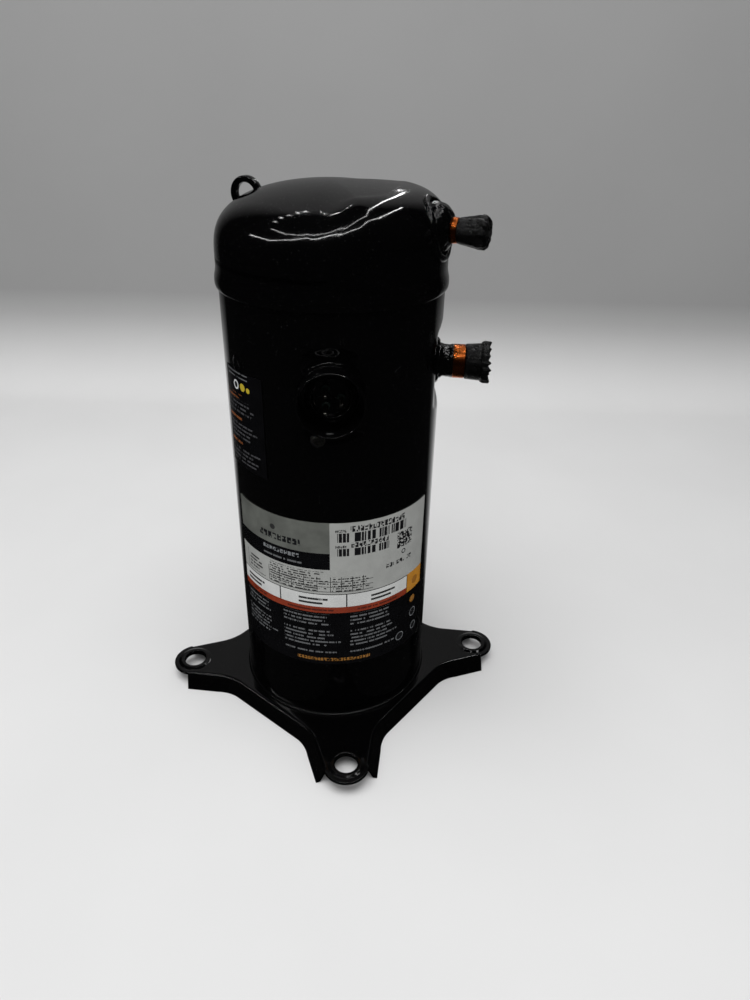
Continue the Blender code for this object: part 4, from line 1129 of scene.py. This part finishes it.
def make_labels():
    zones = [SILVER_ZONE, TITLE_ZONE, DATA_ZONE, TABLE_ZONE, CELLS_ZONE, RED_ZONE, AMBER_ZONE,
             NOTES_ZONE]
    sheet_of("main_label_sheet", NOTES_ZONE, zones, label_films(), GAP, ("nameplate_label",))
    side = Print("side_film", (0.003, 0.003, 0.004), 0.30, 0.0, 0.3)
    side.text((-115, -87, 314, 318), DIM, 4.0, 0.4, 0.7)
    side.disc(-105.5, 308, 3.6, (0.60, 0.62, 0.62))
    side.disc(-105.5, 308, 2.2, (0.010, 0.010, 0.011))
    side.disc(-99.5, 308, 3.0, (0.50, 0.38, 0.02))
    side.disc(-95.0, 307.4, 2.0, (0.50, 0.38, 0.02))
    for foot, head in ((286, 297), (266, 279), (246, 259)):
        side.text((-116, -88, foot, head), (0.06, 0.06, 0.065), 3.4, 0.42, 0.6)
        side.text((-116, -100, head + 0.5, head + 4.5), (0.20, 0.06, 0.015), 4.0, 0.5, 0.7)
    whole = (-117, -85, low("side_label").z, high("side_label").z)
    sheet_of("side_label_sheet", whole, [whole], [side.done()], GAP, ("side_label",))


# ---------------------------------------------------------------- studio

CAMERA_AZIMUTH, CAMERA_ELEVATION, CAMERA_ROLL = 38.2, 30.7, 1.35
CAMERA_TARGET = Vector((0.0271, 0.0213, 0.1858))
CAMERA_DISTANCE, CAMERA_LENS = 0.6213, 26.14


PAPER = (0.74, 0.32)               # grey of the paper sweep on the floor and on the wall
BEHIND_MIRRORED = (0.80, 0.008)    # how bright it mirrors right behind the object, elsewhere
WALL_MIRRORED = 0.55
ROOM = (0.45, 0.003)               # the room's brightness, and as the enamel mirrors it
CEILING = 1.8                      # height of the soft box

# Where the lamps show on the cap: azimuth, and share of the way from its wall to its centre
NEAR_TUBE = [(-89, 0.21), (-82, 0.20), (-77, 0.19), (-67, 0.21), (-60, 0.23), (-52, 0.23),
             (-44, 0.19), (-36, 0.18), (-26, 0.23), (-10, 0.30)]
FAR_TUBE = [(-78, 0.28), (-70, 0.25), (-62, 0.25), (-54, 0.26), (-42, 0.22), (-32, 0.25),
            (-18, 0.38), (10, 0.52)]
SPOTLIGHTS = [(-78, 0.34), (-76, 0.38), (-72, 0.41), (-68, 0.44), (-64, 0.46)]


def direction(azimuth, elevation):
    a, e = radians(azimuth), radians(elevation)
    return Vector((sin(a) * cos(e), -cos(a) * cos(e), sin(e)))


FRONT = direction(CAMERA_AZIMUTH, 0)
ASIDE = Vector((cos(radians(CAMERA_AZIMUTH)), sin(radians(CAMERA_AZIMUTH)), 0))


def camera_place():
    return CAMERA_TARGET + direction(CAMERA_AZIMUTH, CAMERA_ELEVATION) * CAMERA_DISTANCE


def make_camera():
    data = bpy.data.cameras.new("camera")
    data.lens, data.sensor_width, data.clip_start = CAMERA_LENS, 36.0, 0.01
    camera = bpy.data.objects.new("camera", data)
    bpy.context.scene.collection.objects.link(camera)
    back = direction(CAMERA_AZIMUTH, CAMERA_ELEVATION)
    turn = Matrix((ASIDE, back.cross(ASIDE), back)).transposed()
    camera.matrix_world = Matrix.Translation(camera_place()) \
        @ turn.to_4x4() @ Matrix.Rotation(radians(CAMERA_ROLL), 4, "Z")
    bpy.context.scene.camera = camera


def area_light(name, where, target, size, power, colour=(1, 1, 1)):
    data = bpy.data.lights.new(name, "AREA")
    data.shape = "RECTANGLE"
    data.size, data.size_y = size
    data.energy, data.color = power, colour
    light = bpy.data.objects.new(name, data)
    bpy.context.scene.collection.objects.link(light)
    light.location = where
    light.rotation_euler = (Vector(target) - Vector(where)).to_track_quat("-Z", "Y").to_euler()
    return light


def stage_material():
    """Matt paper, paler on the floor than on the wall. The enamel mirrors it much darker than
    it looks, as if black flags stood round it, but for what stands right behind the object."""
    n = Nodes("paper_sweep")
    path = n.tree.nodes.new("ShaderNodeLightPath")
    split = n.tree.nodes.new("ShaderNodeSeparateXYZ")
    n.link(n.place, split.inputs[0])

    def along(direction):
        return n.math("ADD", n.math("MULTIPLY", split.outputs["X"], direction.x),
                      n.math("MULTIPLY", split.outputs["Y"], direction.y))

    off_behind = n.math("ABSOLUTE", n.math("ARCTAN2", along(ASIDE), along(-FRONT)))
    mirrored = n.ramp(off_behind, radians(30), radians(52), *BEHIND_MIRRORED)
    mirrored = n.math("MULTIPLY", mirrored, n.ramp(split.outputs["Z"], 0.0, 0.10, 1.0, WALL_MIRRORED))
    paper = n.ramp(split.outputs["Z"], 0.0, 0.16, *PAPER)
    shade = n.math("MULTIPLY", paper, n.ramp(n.noise(4, 3.0), 0.3, 0.7, 0.96, 1.0))
    grey = n.math("MULTIPLY", shade, n.mix_value(path.outputs["Is Glossy Ray"], 1.0, mirrored))
    return n.set(Base_Color=n.joined_grey(grey), Roughness=0.9, Specular_IOR_Level=0.1)


def make_stage():
    """A pale floor that sweeps up into a plain grey backdrop behind the object."""
    profile = [(-1.6, 0.0), (0.0, 0.0), (0.62, 0.0)]
    for i in range(1, 13):
        a = (pi / 2) * i / 12
        profile.append((0.62 + 0.12 * sin(a), 0.12 * (1 - cos(a))))
    profile.append((0.74, 2.2))
    bm = bmesh.new()
    rows = []
    for depth, z in profile:
        p = -FRONT * depth
        rows.append([bm.verts.new(p + ASIDE * w + Vector((0, 0, z - 0.0002)))
                     for w in (-2.4, 2.4)])
    for first, second in zip(rows, rows[1:]):
        bm.faces.new((first[0], first[1], second[1], second[0]))
    mesh = bpy.data.meshes.new("sweep")
    bm.to_mesh(mesh)
    bm.free()
    mesh.shade_smooth()
    sweep = bpy.data.objects.new("sweep", mesh)
    bpy.context.scene.collection.objects.link(sweep)
    mesh.materials.append(stage_material())


def make_world():
    """An even grey room, dark where the enamel would mirror it."""
    world = bpy.data.worlds.new("studio")
    bpy.context.scene.world = world
    world.use_nodes = True
    tree = world.node_tree
    tree.nodes["Background"].inputs["Color"].default_value = rgb(1, 1, 1)
    path = tree.nodes.new("ShaderNodeLightPath")
    strength = tree.nodes.new("ShaderNodeMapRange")
    strength.inputs["To Min"].default_value, strength.inputs["To Max"].default_value = ROOM
    tree.links.new(path.outputs["Is Glossy Ray"], strength.inputs["Value"])
    tree.links.new(strength.outputs[0], tree.nodes["Background"].inputs["Strength"])


def mirrored_spot(azimuth, s, reach):
    """Where a lamp stands, that far off, to be mirrored to the camera by a place on the cap."""
    def skin_point(a, t):
        r, z = cap_dome(a, t)
        return Vector((r * cos(radians(a)), r * sin(radians(a)), z)) * MM

    spot = skin_point(azimuth, s)
    normal = (skin_point(azimuth + 0.3, s) - skin_point(azimuth - 0.3, s)).cross(
        skin_point(azimuth, s + 0.004) - skin_point(azimuth, s - 0.004)).normalized()
    view = (spot - camera_place()).normalized()
    return spot + (view - 2 * view.dot(normal) * normal) * reach


def lamp(name, start, end, width, glow):
    """A thin lamp between two spots, turned to the cap."""
    middle, along = (start + end) / 2, end - start
    facing = (middle - Vector((0, 0, CAP_TOP * MM))).normalized()
    side = facing.cross(along).normalized()
    length = along.length
    light = area_light(name, middle, middle - facing, (length, width), glow * pi * length * width)
    turn = Matrix((along.normalized(), side, along.normalized().cross(side))).transposed()
    light.rotation_euler = turn.to_euler()


def make_lights():
    """A soft box that only lights, and thin lamps that show as highlights on the cap."""
    target = Vector((0, 0, CAP_LOW * MM))
    soft = area_light("soft_box", FRONT * 0.3 - ASIDE * 0.2 + Vector((0, 0, CEILING)), target,
                      (1.6, 1.2), 22)
    soft.visible_glossy = False
    for name, reach, glow, places in (("near_tube", 1.2, 24, NEAR_TUBE),
                                      ("far_tube", 0.62, 16, FAR_TUBE)):
        spots = [mirrored_spot(*place, reach) for place in places]
        for i, (start, end) in enumerate(zip(spots, spots[1:])):
            lamp(f"{name}_{i + 1}", start, end, 0.011 * reach, glow)
    for i, place in enumerate(SPOTLIGHTS):
        spot = mirrored_spot(*place, 0.62)
        lamp(f"spotlight_{i + 1}", spot, spot + ASIDE * 0.012, 0.012, 30)


# ---------------------------------------------------------------- everything

finish_cad_nodes()
make_shell()
make_cap()
plug_welds()
make_lifting_ring()
make_suction()
make_discharge()
make_terminal()
make_ground_screw()
make_base()
make_labels()
make_stage()
make_world()
make_lights()
make_camera()
bpy.context.scene.view_settings.view_transform = "Standard"
